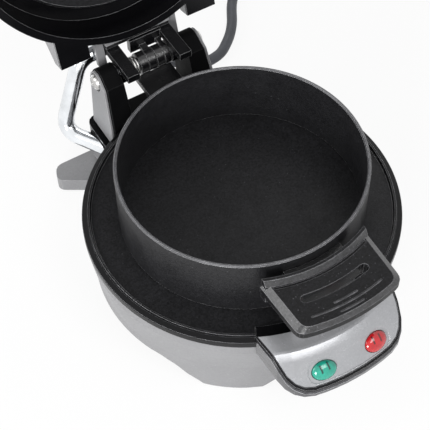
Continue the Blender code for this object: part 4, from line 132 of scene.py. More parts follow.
@dataclass(frozen=True)
class Finish:
    """What all finishes share: soft edges, a fine grain and edges painted with wear and painted
    highlight.

    Sizes are in millimetres. Wear is how far the colour of the edges goes towards the worn colour,
    which stands partly for wear and partly for painted highlight: it starts where the softened
    normal leaves the surface's own (edge_start) and is full at edge_turn, both as the cosine
    between them. It is broken up in patches.
    """

    name: str
    colour: str
    roughness: float
    # The colour painted on the edges, and how far: partly wear, partly painted highlight
    worn_highlight_colour: str = "ffffff"
    wear_and_highlight: float = 0.2
    metallic: float = 0.0
    specular: float = 0.5
    edge_mm: float = 0.35
    edge_turn: float = 0.92
    grain_mm: float = 0.8
    depth_mm: float = 0.02
    cloud_mm: float = 18.0
    cloud: float = 0.08
    stretch: tuple[float, float, float] = (1.0, 1.0, 1.0)
    coat: float = 0.0
    coat_roughness: float = 0.08
    edge_start: float = 0.996
    # Patches that break up the edges' paint of wear and painted highlight
    wear_and_highlight_patch_mm: float = 5.0
    least_wear_and_highlight: float = 0.5
    mark_mm: float = 9.0
    mark_gloss: tuple[float, float] = (0.88, 1.14)

    def material(self) -> bpy.types.Material:
        """Build the finish as a material.

        Returns:
            The new material.
        """
        material = bpy.data.materials.new(self.name)
        material.use_nodes = True
        tree = material.node_tree
        tree.nodes.clear()
        place = add_node(tree, "ShaderNodeTexCoord").outputs["Object"]
        shader = add_node(tree, "ShaderNodeBsdfPrincipled", {
            "Metallic": self.metallic,
            "Specular IOR Level": self.specular,
            "Coat Weight": self.coat,
            "Coat Roughness": self.coat_roughness,
        })
        add_node(tree, "ShaderNodeOutputMaterial", {"Surface": shader.outputs["BSDF"]})
        soft = add_node(tree, "ShaderNodeBevel", {"Radius": self.edge_mm * MM}, samples=4)
        tree.links.new(self.relief(tree, place, soft.outputs["Normal"]), shader.inputs["Normal"])
        edge = self.edges(tree, place, soft.outputs["Normal"])
        # Paint the edges towards the worn colour: partly wear, partly painted highlight
        worn_highlight_colour = add_node(tree, "ShaderNodeMix", {
            0: edge, 6: self.paint(tree, place), 7: linear(self.worn_highlight_colour),
        }, data_type="RGBA")
        tree.links.new(worn_highlight_colour.outputs[2], shader.inputs["Base Color"])
        tree.links.new(self.sheen(tree, place), shader.inputs["Roughness"])
        return material

    def edges(
        self, tree: bpy.types.NodeTree, place: bpy.types.NodeSocket, soft: bpy.types.NodeSocket
    ) -> bpy.types.NodeSocket:
        """Find the edges that are painted paler, partly as wear and partly as painted highlight,
        broken up in patches.

        Args:
            tree: the material's node tree.
            place: the point on the object, in metres.
            soft: the normal of the softened edges.

        Returns:
            A mask that is 1 on an edge painted with wear and painted highlight.
        """
        geometry = add_node(tree, "ShaderNodeNewGeometry")
        turn = add_node(tree, "ShaderNodeVectorMath", {
            0: soft, 1: geometry.outputs["Normal"],
        }, operation="DOT_PRODUCT")
        edge = add_node(tree, "ShaderNodeMapRange", {
            "Value": turn.outputs["Value"], "From Min": self.edge_start,
            "From Max": self.edge_turn, "To Max": self.wear_and_highlight,
        })
        patches = add_node(tree, "ShaderNodeTexNoise", {
            "Vector": place, "Scale": 1 / (self.wear_and_highlight_patch_mm * MM), "Detail": 3.0,
        })
        broken = add_node(tree, "ShaderNodeMapRange", {
            "Value": patches.outputs[0],
            "From Min": 0.35, "From Max": 0.6, "To Min": self.least_wear_and_highlight,
        })
        return add_node(
            tree, "ShaderNodeMath", {0: edge.outputs[0], 1: broken.outputs[0]}, operation="MULTIPLY"
        ).outputs[0]

    def relief(
        self, tree: bpy.types.NodeTree, place: bpy.types.NodeSocket, soft: bpy.types.NodeSocket
    ) -> bpy.types.NodeSocket:
        """Raise the grain on the softened edges.

        Args:
            tree: the material's node tree.
            place: the point on the object, in metres.
            soft: the normal of the softened edges.

        Returns:
            The normal with the grain in it.
        """
        stretched = add_node(tree, "ShaderNodeMapping", {"Vector": place, "Scale": self.stretch})
        grain = add_node(tree, "ShaderNodeTexNoise", {
            "Vector": stretched.outputs[0], "Scale": 1 / (self.grain_mm * MM), "Detail": 2.0,
        })
        return add_node(tree, "ShaderNodeBump", {
            "Height": grain.outputs[0], "Distance": self.depth_mm * MM, "Normal": soft,
        }).outputs[0]

    def paint(self, tree: bpy.types.NodeTree, place: bpy.types.NodeSocket) -> bpy.types.NodeSocket:
        """Lay the colour with faint clouds in it.

        Args:
            tree: the material's node tree.
            place: the point on the object, in metres.

        Returns:
            The colour.
        """
        clouds = add_node(tree, "ShaderNodeTexNoise", {
            "Vector": place, "Scale": 1 / (self.cloud_mm * MM), "Detail": 4.0,
        })
        shade = add_node(tree, "ShaderNodeMapRange", {
            "Value": clouds.outputs[0], "From Min": NOISE_LOW, "From Max": NOISE_HIGH,
            "To Min": 1 - self.cloud, "To Max": 1 + self.cloud,
        })
        return add_node(tree, "ShaderNodeVectorMath", {
            0: linear(self.colour)[:3], "Scale": shade.outputs[0],
        }, operation="SCALE").outputs[0]

    def sheen(self, tree: bpy.types.NodeTree, place: bpy.types.NodeSocket) -> bpy.types.NodeSocket:
        """Vary the gloss with light handling marks.

        Args:
            tree: the material's node tree.
            place: the point on the object, in metres.

        Returns:
            The roughness.
        """
        marks = add_node(tree, "ShaderNodeTexNoise", {
            "Vector": place, "Scale": 1 / (self.mark_mm * MM), "Detail": 5.0,
        })
        return add_node(tree, "ShaderNodeMapRange", {
            "Value": marks.outputs[0], "From Min": NOISE_LOW, "From Max": NOISE_HIGH,
            "To Min": self.roughness * self.mark_gloss[0],
            "To Max": min(self.roughness * self.mark_gloss[1], 1.0),
        }).outputs[0]


@dataclass(frozen=True)
class SpeckledFinish(Finish):
    """A finish with small pale grains in it, of the spacing and size given in millimetres."""

    speck: str = "6d6e72"
    speck_mm: float = 1.1
    speck_radius: float = 0.17
    speck_share: float = 0.5
    mottle_mm: float = 0.8
    mottle: float = 0.3

    def paint(self, tree: bpy.types.NodeTree, place: bpy.types.NodeSocket) -> bpy.types.NodeSocket:
        """Mottle the plain finish and scatter the pale grains over it, some bright and most faint.

        Args:
            tree: the material's node tree.
            place: the point on the object, in metres.

        Returns:
            The colour.
        """
        even = super().paint(tree, place)
        mottles = add_node(tree, "ShaderNodeTexVoronoi", {
            "Vector": place, "Scale": 1 / (self.mottle_mm * MM),
        })
        tones = add_node(tree, "ShaderNodeSeparateColor", {"Color": mottles.outputs["Color"]})
        tone = add_node(tree, "ShaderNodeMapRange", {
            "Value": tones.outputs[0], "To Min": 1 - self.mottle, "To Max": 1 + self.mottle,
        })
        plain = add_node(tree, "ShaderNodeVectorMath", {
            0: even, "Scale": tone.outputs[0],
        }, operation="SCALE").outputs[0]
        cells = add_node(tree, "ShaderNodeTexVoronoi", {
            "Vector": place, "Scale": 1 / (self.speck_mm * MM),
        })
        dots = add_node(tree, "ShaderNodeMapRange", {
            "Value": cells.outputs["Distance"],
            "From Min": self.speck_radius, "From Max": self.speck_radius * 0.5,
        })
        each = add_node(tree, "ShaderNodeSeparateColor", {"Color": cells.outputs["Color"]})
        bright = add_node(tree, "ShaderNodeMapRange", {
            "Value": each.outputs[0], "From Min": 1 - self.speck_share, "From Max": 1.0,
        })
        mask = add_node(tree, "ShaderNodeMath", {
            0: dots.outputs[0], 1: bright.outputs[0],
        }, operation="MULTIPLY")
        return add_node(tree, "ShaderNodeMix", {
            0: mask.outputs[0], 6: plain, 7: linear(self.speck),
        }, data_type="RGBA").outputs[2]


@dataclass(frozen=True)
class LensFinish(Finish):
    """Clear tinted plastic over a lamp: two dark bars and a dark core show through it."""

    middle: tuple[float, float, float] = (0.0, 0.0, 0.0)
    bar: str = "0b3a34"
    half_gap_mm: float = 2.1
    bar_mm: float = 0.65
    bar_length_mm: float = 2.0
    core_mm: tuple[float, float] = (0.7, 1.3)
    core_depth: float = 0.7

    def paint(self, tree: bpy.types.NodeTree, place: bpy.types.NodeSocket) -> bpy.types.NodeSocket:
        """Draw the lamp's bars and core, dark, in the tinted plastic.

        Args:
            tree: the material's node tree.
            place: the point on the object, in metres.

        Returns:
            The colour.
        """
        plain = super().paint(tree, place)
        local = add_node(tree, "ShaderNodeVectorMath", {
            0: place, 1: self.middle,
        }, operation="SUBTRACT")
        axes = add_node(tree, "ShaderNodeSeparateXYZ", {0: local.outputs[0]})
        across = add_node(tree, "ShaderNodeMath", {0: axes.outputs["X"]}, operation="ABSOLUTE")
        beside = add_node(tree, "ShaderNodeMath", {
            0: across.outputs[0], 1: self.half_gap_mm * MM,
        }, operation="SUBTRACT")
        beside = add_node(tree, "ShaderNodeMath", {0: beside.outputs[0]}, operation="ABSOLUTE")
        bar = add_node(tree, "ShaderNodeMapRange", {
            "Value": beside.outputs[0],
            "From Min": self.bar_mm * MM, "From Max": self.bar_mm * MM * 0.5,
        })
        along = add_node(tree, "ShaderNodeMath", {0: axes.outputs["Y"]}, operation="ABSOLUTE")
        ends = add_node(tree, "ShaderNodeMapRange", {
            "Value": along.outputs[0],
            "From Min": self.bar_length_mm * MM, "From Max": self.bar_length_mm * MM * 0.85,
        })
        bars = add_node(tree, "ShaderNodeMath", {
            0: bar.outputs[0], 1: ends.outputs[0],
        }, operation="MULTIPLY")
        reach = add_node(tree, "ShaderNodeVectorMath", {0: local.outputs[0]}, operation="LENGTH")
        core = add_node(tree, "ShaderNodeMapRange", {
            "Value": reach.outputs["Value"],
            "From Min": self.core_mm[1] * MM, "From Max": self.core_mm[0] * MM,
            "To Max": self.core_depth,
        })
        dark = add_node(tree, "ShaderNodeMath", {
            0: bars.outputs[0], 1: core.outputs[0],
        }, operation="MAXIMUM")
        return add_node(tree, "ShaderNodeMix", {
            0: dark.outputs[0], 6: plain, 7: linear(self.bar),
        }, data_type="RGBA").outputs[2]


# In every finish below, the worn colour that the edges are painted with stands partly for wear and
# partly for painted highlight
# Satin ABS, moulded with its colour in it: pale grey with a faint sparkle and no hard reflection.
# Its near-white edges are a painted highlight.
# The sparkle's grains are drawn coarser than real, to show at the picture's size
GREY_PLASTIC = SpeckledFinish(
    "Moulded satin ABS", "8a8a8c", 0.4, worn_highlight_colour="d2d2d4", wear_and_highlight=0.7, specular=0.4, edge_mm=0.5,
    grain_mm=0.6, depth_mm=0.012, cloud=0.04, speck="b4b4b6", speck_mm=1.4, speck_radius=0.2,
    speck_share=0.4, mottle=0.05,
)
# Polycarbonate under silver lacquer: metal flake, drawn coarser than real, under a clear coat
SILVER_LACQUER = SpeckledFinish(
    "Lacquered polycarbonate", "a4a5a8", 0.25, worn_highlight_colour="d8d8dc", wear_and_highlight=0.3, metallic=0.35, specular=0.5,
    edge_mm=0.4, grain_mm=0.5, depth_mm=0.006, cloud=0.03, coat=0.25,
    speck="c4c5c9", speck_mm=0.8, speck_radius=0.25, speck_share=0.3, mottle=0.04,
)
# Black ABS from a polished mould: deep black with tight highlights along its edges, which are also
# painted pale there as a painted highlight
GLOSS_BLACK = Finish(
    "Polished black ABS", "0d0d0f", 0.22, worn_highlight_colour="d0d0d4", wear_and_highlight=0.6, specular=0.2, edge_mm=0.3,
    grain_mm=1.5, depth_mm=0.008, cloud=0.15,
)
# The same black ABS off a dull mould, on the posts and the deck: a soft light on rounded tops only
DULL_BLACK = Finish(
    "Dull black ABS", "0b0b0c", 0.6, worn_highlight_colour="6e6e70", wear_and_highlight=0.5, specular=0.05, edge_mm=0.6,
    grain_mm=0.8, depth_mm=0.03, cloud=0.15,
)
# Black polypropylene from a spark-eroded mould: pebbled, so that highlights spread and glitter.
# Its specks and mottle are drawn coarser than real
TEXTURED_BLACK = SpeckledFinish(
    "Spark-textured black polypropylene", "111113", 0.45, worn_highlight_colour="a8a8ac", wear_and_highlight=0.5, specular=0.2,
    edge_mm=0.7, grain_mm=0.9, depth_mm=0.14, cloud=0.1, speck="5c5c60", speck_mm=1.6,
    speck_radius=0.24, speck_share=0.5, mottle_mm=0.9, mottle=0.6,
)
# The same polypropylene where the mould was polished, on the grips' satin bevels: painted lighter
# than the textured black, as painted light for the light the bevels take. Its specks and mottle are
# drawn coarser than real
SATIN_BLACK_PAINTED_LIGHTER = SpeckledFinish(
    "Satin black polypropylene, painted lighter", "2e2e30", 0.3, worn_highlight_colour="c4c4c8", wear_and_highlight=0.6, specular=0.75, edge_mm=0.5,
    grain_mm=0.9, depth_mm=0.12, cloud=0.2, speck="6c6c70", speck_mm=1.4, speck_radius=0.26,
    speck_share=0.4, mottle_mm=0.9, mottle=0.5,
)
# Smoked polycarbonate: nearly black, with one wide band of light along its side that slow waves in
# the moulding break into streaks
SMOKED = Finish(
    "Smoked polycarbonate", "38383c", 0.14, worn_highlight_colour="e4e4e8", wear_and_highlight=0.8, specular=0.6, edge_mm=0.45,
    grain_mm=4.0, depth_mm=0.16, cloud=0.25, cloud_mm=5.0, stretch=(0.5, 0.5, 2.0), coat=0.5,
)
# Sprayed non-stick coat on cast aluminium: matt black, with bright edges painted partly as bare
# coat and partly as painted highlight, and pale mineral grains that are drawn coarser and further
# apart than real
NON_STICK = SpeckledFinish(
    "Sprayed non-stick coat", "1c1c1e", 0.5, worn_highlight_colour="c4c4c6", wear_and_highlight=0.9, specular=0.22, edge_mm=0.35,
    grain_mm=0.9, depth_mm=0.12, cloud=0.12, speck="5c5d60", speck_mm=2.4, speck_radius=0.12,
    speck_share=0.35, mottle_mm=0.9, mottle=0.5,
)
# The same coat on the spun steel ring, painted a little paler all over than the plate's: painted
# light for the light that rakes the ring's wall. Its grains too are drawn coarser than real
RING_COAT_PAINTED_PALER = SpeckledFinish(
    "Sprayed non-stick coat on steel, painted paler", "1e1e20", 0.4, worn_highlight_colour="d6d6d8", wear_and_highlight=1.0, specular=0.4,
    edge_mm=0.35, grain_mm=1.0, depth_mm=0.2, cloud=0.12, speck="5c5d60", speck_mm=3.2,
    speck_radius=0.11, speck_share=0.3, mottle_mm=1.0, mottle=0.3,
)
# The ring's lip: its top painted pale grey and its edges near-white, a painted highlight that shows
# as one clear line round it
LIP_PAINTED_HIGHLIGHT = Finish(
    "Steel lip with painted highlight", "505053", 0.35, worn_highlight_colour="f4f4f6", wear_and_highlight=0.9, metallic=0.2, specular=0.5,
    edge_mm=0.15, edge_turn=0.97, grain_mm=1.2, depth_mm=0.02, cloud=0.2, cloud_mm=6.0,
)
# Steel pressing, stove-enamelled black: the enamel's orange peel breaks up a hard highlight on
# every fold, whose edges are also painted pale as a painted highlight
BLACK_STEEL = Finish(
    "Stove-enamelled steel", "0d0d0f", 0.25, worn_highlight_colour="b8b8ba", wear_and_highlight=0.6, specular=0.8, edge_mm=0.45,
    grain_mm=1.2, depth_mm=0.12, cloud=0.15,
)
# Chromed steel tube: a mirror that takes the white studio, with the slow waves of a bent tube
CHROME = Finish(
    "Chromed steel", "eef1f4", 0.1, worn_highlight_colour="ffffff", wear_and_highlight=0.3, metallic=1.0, edge_mm=0.2,
    grain_mm=4.0, depth_mm=0.14, cloud_mm=10.0, cloud=0.12,
)
# Zinc-plated steel fasteners: bright, slightly grey, with fine turning marks
BRIGHT_STEEL = Finish(
    "Zinc-plated steel", "c9c8c6", 0.28, worn_highlight_colour="ffffff", wear_and_highlight=0.4, metallic=1.0, edge_mm=0.2,
    grain_mm=0.4, depth_mm=0.02, cloud_mm=3.0, cloud=0.12,
)
# Rolled aluminium sheet: soft grey metal with lines along the rolling direction
ALUMINIUM = Finish(
    "Rolled aluminium", "b8b9bb", 0.4, worn_highlight_colour="e8e8ea", wear_and_highlight=0.3, metallic=1.0, edge_mm=0.2,
    grain_mm=0.5, depth_mm=0.02, cloud=0.08, stretch=(1.0, 0.05, 1.0),
)
# Soft PVC over the lead's cores: dull dark grey that scuffs paler where it bends
PVC = Finish(
    "Extruded PVC sheath", "4b4d52", 0.5, worn_highlight_colour="6a6c70", wear_and_highlight=0.2, specular=0.4, edge_mm=0.2,
    grain_mm=0.7, depth_mm=0.02, cloud_mm=12.0, cloud=0.12,
)
# Pressed rubber pads and grommets: flat black, dusty, no highlight
RUBBER = Finish(
    "Pressed rubber", "19191a", 0.8, worn_highlight_colour="3c3c3c", wear_and_highlight=0.3, specular=0.3, edge_mm=0.3,
    grain_mm=0.4, depth_mm=0.03, cloud=0.15,
)
# Pressed phenolic board and lamp glass holders: dull cream
PHENOLIC = Finish(
    "Pressed phenolic", "b9ad95", 0.6, worn_highlight_colour="d5ccb8", wear_and_highlight=0.2, specular=0.4, edge_mm=0.3,
    grain_mm=0.5, depth_mm=0.02, cloud=0.1,
)

FINISHES: dict[str, Finish] = {
    "grey_plastic": GREY_PLASTIC,
    "silver_lacquer": SILVER_LACQUER,
    "black_gloss": GLOSS_BLACK,
    "black_textured": TEXTURED_BLACK,
    "smoked_plastic": SMOKED,
    "insulator": PHENOLIC,
    "rubber": RUBBER,
    "cord_plastic": PVC,
    "non_stick": NON_STICK,
    "black_steel": BLACK_STEEL,
    "bright_steel": BRIGHT_STEEL,
    "chrome": CHROME,
    "shield_aluminium": ALUMINIUM,
}


class Turn(Enum):
    """The axes that the round surfaces turn about."""

    NONE = "none"
    BASE = "base"
    LID = "lid"

    def matrix(self) -> Matrix:
        """Give the place of the axis, which runs along the matrix's Z."""
        return OPENED if self is Turn.LID else STANDING


@dataclass
class Workshop:
    """Keeps one material for each finish and turns CAD nodes into finished pieces."""

    made: dict[str, bpy.types.Material] = field(default_factory=dict)

    def finish(self, finish: Finish) -> bpy.types.Material:
        """Give a finish's material, made once.

        Args:
            finish: the finish.

        Returns:
            Its material.
        """
        if finish.name not in self.made:
            self.made[finish.name] = finish.material()
        return self.made[finish.name]

    def dress(self, node: str) -> None:
        """Give a CAD node that stays the material of its slot.

        Args:
            node: the node's name.
        """
        obj = frame["nodes"][node]
        material = self.finish(FINISHES[SLOTS[node]])
        obj.data.materials.clear()
        obj.data.materials.append(material)
        log.info("dressed %s with %s", node, material.name)

    def place(self, piece: bpy.types.Object, node: str, *others: str) -> bpy.types.Object:
        """Let a piece stand for nodes, on the first one's body.

        Args:
            piece: the new piece.
            node: the node that gives the body.
            others: more nodes that the piece stands for.

        Returns:
            The piece.
        """
        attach(piece, frame["nodes"][node]["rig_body"])
        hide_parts(node, *others)
        log.info("%s stands for %s", piece.name, ", ".join((node, *others)))
        return piece

    def refine(
        self,
        node: str,
        turn: Turn = Turn.NONE,
        cuts: int = 2,
        crease: float = 18.0,
        soft_mm: float = 0.0,
        finish: Finish | None = None,
    ) -> bpy.types.Object:
        """Make a smooth piece from a node: finer arcs about its axis and creases at its edges.

        Args:
            node: the node's name.
            turn: the axis of its round surfaces.
            cuts: how many points each arc gains.
            crease: the angle in degrees from which an edge stays sharp.
            soft_mm: how wide its moulded edges are rounded, or 0 to leave that to the finish.
            finish: the finish, or None for that of the node's slot.

        Returns:
            The new piece, which stands for the node.
        """
        source = frame["nodes"][node]
        mesh = source.data.copy()
        mesh.name = node + "_shape"
        shape = bmesh.new()
        shape.from_mesh(mesh)
        bmesh.ops.remove_doubles(shape, verts=shape.verts, dist=MERGE_WITHIN)
        bmesh.ops.dissolve_limit(
            shape, angle_limit=FLAT_WITHIN, verts=shape.verts, edges=shape.edges, delimit=set()
        )
        if turn is not Turn.NONE:
            round_arcs(shape, turn.matrix(), cuts)
        for face in shape.faces:
            face.smooth = True
        shape.to_mesh(mesh)
        shape.free()
        mesh.set_sharp_from_angle(angle=math.radians(crease))
        mesh.materials.clear()
        mesh.materials.append(self.finish(finish or FINISHES[SLOTS[node]]))
        piece = bpy.data.objects.new(node + "_shell", mesh)
        bpy.context.scene.collection.objects.link(piece)
        if soft_mm:
            rounding = piece.modifiers.new("soft_edges", "BEVEL")
            rounding.width = soft_mm * MM
            rounding.segments = 2
            rounding.limit_method = "ANGLE"
            rounding.angle_limit = ROUNDED_FROM
        flats = piece.modifiers.new("flat_faces", "WEIGHTED_NORMAL")
        flats.keep_sharp = True
        return self.place(piece, node)


def satin_bevels_painted_lighter(piece: bpy.types.Object, satin: bpy.types.Material, up: Vector) -> None:
    """Give the bevels and rounded edges of a grip the satin finish of a polished mould, painted
    lighter as painted light.

    Args:
        piece: the grip.
        satin: the finish for its bevels, satin and painted lighter.
        up: the direction that the grip's broad face looks.
    """
    piece.data.materials.append(satin)
    for face in piece.data.polygons:
        if BEVEL_SLOPES[0] < abs(face.normal.dot(up)) < BEVEL_SLOPES[1]:
            face.material_index = 1
    piece.modifiers["soft_edges"].material = 1


def round_arcs(shape: bmesh.types.BMesh, axis: Matrix, cuts: int) -> None:
    """Cut the straight sides of round outlines finer and push the new points onto the circle.

    Args:
        shape: the mesh to work on.
        axis: the place of the axis, along the matrix's Z.
        cuts: how many points each side gains.
    """
    inward = axis.inverted()
    arcs = []
    wanted = []
    for edge in shape.edges:
        start, end = (inward @ vert.co for vert in edge.verts)
        radii = start.xy.length, end.xy.length
        level = abs(start.z - end.z) < LEVEL_WITHIN and abs(radii[0] - radii[1]) < LEVEL_WITHIN
        if not level or radii[0] < LEAST_ARC_RADIUS or start.xy.angle(end.xy) > WIDEST_ARC_STEP:
            continue
        arcs.append(edge)
        for cut in range(1, cuts + 1):
            chord = start.lerp(end, cut / (cuts + 1))
            target = chord.copy()
            target.xy = chord.xy.normalized() * sum(radii) / 2
            wanted.append((axis @ chord, axis @ target))
    tree = kdtree.KDTree(len(wanted))
    for index, (chord, _) in enumerate(wanted):
        tree.insert(chord, index)
    tree.balance()
    bmesh.ops.subdivide_edges(shape, edges=arcs, cuts=cuts, use_grid_fill=True)
    for vert in shape.verts:
        _, index, distance = tree.find(vert.co)
        if distance is not None and distance < SAME_POINT:
            vert.co = wanted[index][1]


def smooth_route(points: list[Vector], spacing: float) -> list[Vector]:
    """Run an even, smooth line through points.

    Args:
        points: the points that the line passes.
        spacing: the greatest distance between the points of the result.

    Returns:
        The points of the line, its two ends included.
    """
    ends = [points[0] * 2 - points[1], *points, points[-1] * 2 - points[-2]]
    fine = []
    for index in range(1, len(ends) - 2):
        before, start, end, after = ends[index - 1:index + 3]
        for step in range(CURVE_STEPS):
            share = step / CURVE_STEPS
            fine.append(0.5 * (
                2 * start
                + (end - before) * share
                + (2 * before - 5 * start + 4 * end - after) * share ** 2
                + (3 * start - before - 3 * end + after) * share ** 3
            ))
    fine.append(points[-1].copy())
    total = sum((b - a).length for a, b in zip(fine, fine[1:]))
    count = math.ceil(total / spacing)
    even = [fine[0]]
    travelled = 0.0
    for start, end in zip(fine, fine[1:]):
        length = (end - start).length
        while len(even) < count and travelled + length >= total * len(even) / count:
            even.append(start.lerp(end, (total * len(even) / count - travelled) / length))
        travelled += length
    even.append(fine[-1])
    return even


def wire(name: str, points: list[Vector], radius: float) -> bpy.types.Object:
    """Make a round wire as a curve of one open spline.

    Args:
        name: the piece's name.
        points: the points of its middle line.
        radius: its radius.

    Returns:
        The curve object.
    """
    curve = bpy.data.curves.new(name, "CURVE")
    curve.dimensions = "3D"
    curve.bevel_depth = radius
    curve.bevel_resolution = 6
    curve.use_fill_caps = True
    spline = curve.splines.new("POLY")
    spline.points.add(len(points) - 1)
    for target, point in zip(spline.points, points):
        target.co = (*point, 1.0)
    spline.use_smooth = True
    obj = bpy.data.objects.new(name, curve)
    bpy.context.scene.collection.objects.link(obj)
    return obj


def turned(
    name: str, profile: list[tuple[float, float]], place: Matrix, steps: int
) -> bpy.types.Object:
    """Turn a closed profile about an axis, as on a lathe.

    Args:
        name: the piece's name.
        profile: radius and height of each corner, from the axis at the top to the axis below.
        place: the place of the axis, along the matrix's Z.
        steps: how many sides the round has.

    Returns:
        The new piece, smooth but for its corners.
    """
    verts = []
    faces = []
    for radius, height in profile:
        for step in range(steps):
            angle = math.tau * step / steps
            spot = Vector((radius * math.cos(angle), radius * math.sin(angle), height))
            verts.append(place @ spot)
    for row in range(len(profile) - 1):
        for step in range(steps):
            onward = (step + 1) % steps
            low, high = row * steps, (row + 1) * steps
            faces.append((low + step, high + step, high + onward, low + onward))
    mesh = bpy.data.meshes.new(name)
    mesh.from_pydata(verts, [], faces)
    shape = bmesh.new()
    shape.from_mesh(mesh)
    bmesh.ops.remove_doubles(shape, verts=shape.verts, dist=SAME_POINT)
    bmesh.ops.recalc_face_normals(shape, faces=shape.faces)
    for face in shape.faces:
        face.smooth = True
    shape.to_mesh(mesh)
    shape.free()
    mesh.set_sharp_from_angle(angle=TURNED_CREASE)
    obj = bpy.data.objects.new(name, mesh)
    bpy.context.scene.collection.objects.link(obj)
    return obj


@dataclass
class Studio:
    """The camera at the photograph's angle, a pale floor and soft lamps."""

    focal_pixels: float = 1200.0
    frame_pixels: float = 430.0
    sensor_mm: float = 36.0
    elevation: float = math.radians(53.7357)
    azimuth: float = math.radians(-30.0)
    roll: float = math.radians(-1.3677)
    ring_radius: float = 0.068
    distance_in_radii: float = 9.7532
    across_pixels: float = 26.6556
    down_pixels: float = 10.4028
    aim: Vector = field(default_factory=lambda: RING_CENTRE + Vector((0.0, 0.0, 0.057)))
    lamp_aim: Vector = field(default_factory=lambda: Vector((0.0, 0.0, 0.05)))
    floor_reach: float = 3.0
    room_light: float = 0.4
    floor_white: float = 0.9

    def camera(self) -> None:
        """Set the camera so that the part stands in the frame as it does in the photograph."""
        back = Vector((
            math.sin(self.azimuth) * math.cos(self.elevation),
            -math.cos(self.azimuth) * math.cos(self.elevation),
            math.sin(self.elevation),
        ))
        level = Vector((math.cos(self.azimuth), math.sin(self.azimuth), 0.0))
        above = back.cross(level)
        right = level * math.cos(self.roll) + above * math.sin(self.roll)
        up = above * math.cos(self.roll) - level * math.sin(self.roll)
        distance = self.distance_in_radii * self.ring_radius
        pixel = distance / self.focal_pixels
        place = self.aim + back * distance
        place -= right * self.across_pixels * pixel + up * self.down_pixels * pixel
        data = bpy.data.cameras.new("studio_camera")
        data.sensor_width = self.sensor_mm
        data.lens = self.focal_pixels * self.sensor_mm / self.frame_pixels
        data.clip_start = 0.01
        data.clip_end = 20.0
        camera = bpy.data.objects.new("studio_camera", data)
        camera.matrix_world = Matrix((
            (right.x, up.x, back.x, place.x),
            (right.y, up.y, back.y, place.y),
            (right.z, up.z, back.z, place.z),
            (0.0, 0.0, 0.0, 1.0),
        ))
        bpy.context.scene.collection.objects.link(camera)
        bpy.context.scene.camera = camera

    def lamp(
        self, name: str, place: tuple[float, float, float], size: float, watts: float
    ) -> None:
        """Hang a square soft lamp that faces the part.

        Args:
            name: the lamp's name.
            place: where it hangs.
            size: the length of its side.
            watts: its power.
        """
        data = bpy.data.lights.new(name, "AREA")
        data.shape = "SQUARE"
        data.size = size
        data.energy = watts
        lamp = bpy.data.objects.new(name, data)
        lamp.location = place
        lamp.rotation_euler = (self.lamp_aim - lamp.location).to_track_quat("-Z", "Y").to_euler()
        bpy.context.scene.collection.objects.link(lamp)

    def lamps(self) -> None:
        """Hang the lamps: a wide one in front on the left, and weaker ones beside and behind."""
        self.lamp("front_lamp", (-1.05, -1.0, 0.5), 0.5, 15.0)
        self.lamp("panel_lamp", (0.1, -0.76, 1.0), 0.5, 4.0)
        self.lamp("left_lamp", (-1.2, 0.35, 0.8), 0.6, 4.0)
        self.lamp("back_lamp", (0.5, 1.1, 1.1), 0.8, 3.0)

    def background(self) -> None:
        """Make the floor and the room white to the camera and in reflections, with soft light."""
        scene = bpy.context.scene
        scene.view_settings.view_transform = "Standard"
        world = bpy.data.worlds.new("studio_room")
        world.use_nodes = True
        tree = world.node_tree
        tree.nodes.clear()
        seen = self.seen(tree)
        strength = add_node(tree, "ShaderNodeMapRange", {
            "Value": seen, "To Min": self.room_light, "To Max": 1.0,
        })
        room = add_node(tree, "ShaderNodeBackground", {
            "Color": linear("ffffff"), "Strength": strength.outputs[0],
        })
        add_node(tree, "ShaderNodeOutputWorld", {"Surface": room.outputs[0]})
        scene.world = world
        mesh = bpy.data.meshes.new("studio_floor")
        reach = self.floor_reach
        outline = [(-reach, -reach, 0), (reach, -reach, 0), (reach, reach, 0), (-reach, reach, 0)]
        mesh.from_pydata(outline, [], [(0, 1, 2, 3)])
        floor = bpy.data.objects.new("studio_floor", mesh)
        scene.collection.objects.link(floor)
        material = bpy.data.materials.new("Pale studio paper")
        material.use_nodes = True
        tree = material.node_tree
        tree.nodes.clear()
        paper = add_node(tree, "ShaderNodeBsdfDiffuse", {"Color": linear("ffffff")})
        white = add_node(tree, "ShaderNodeEmission", {"Color": linear("ffffff"), "Strength": 1.0})
        share = add_node(tree, "ShaderNodeMath", {
            0: self.seen(tree), 1: self.floor_white,
        }, operation="MULTIPLY")
        both = add_node(tree, "ShaderNodeMixShader", {
            0: share.outputs[0], 1: paper.outputs[0], 2: white.outputs[0],
        })
        add_node(tree, "ShaderNodeOutputMaterial", {"Surface": both.outputs[0]})
        mesh.materials.append(material)

    def seen(self, tree: bpy.types.NodeTree) -> bpy.types.NodeSocket:
        """Tell what the camera, gloss or glass sees from plain light.

        Args:
            tree: the node tree of the floor or the room.

        Returns:
            1 for a ray that is seen and 0 for plain light.
        """
        path = add_node(tree, "ShaderNodeLightPath")
        most = add_node(tree, "ShaderNodeMath", {
            0: path.outputs["Is Camera Ray"], 1: path.outputs["Is Glossy Ray"],
        }, operation="MAXIMUM")
        return add_node(tree, "ShaderNodeMath", {
            0: most.outputs[0], 1: path.outputs["Is Transmission Ray"],
        }, operation="MAXIMUM").outputs[0]

    def build(self) -> None:
        """Set up the whole studio."""
        self.camera()
        self.lamps()
        self.background()


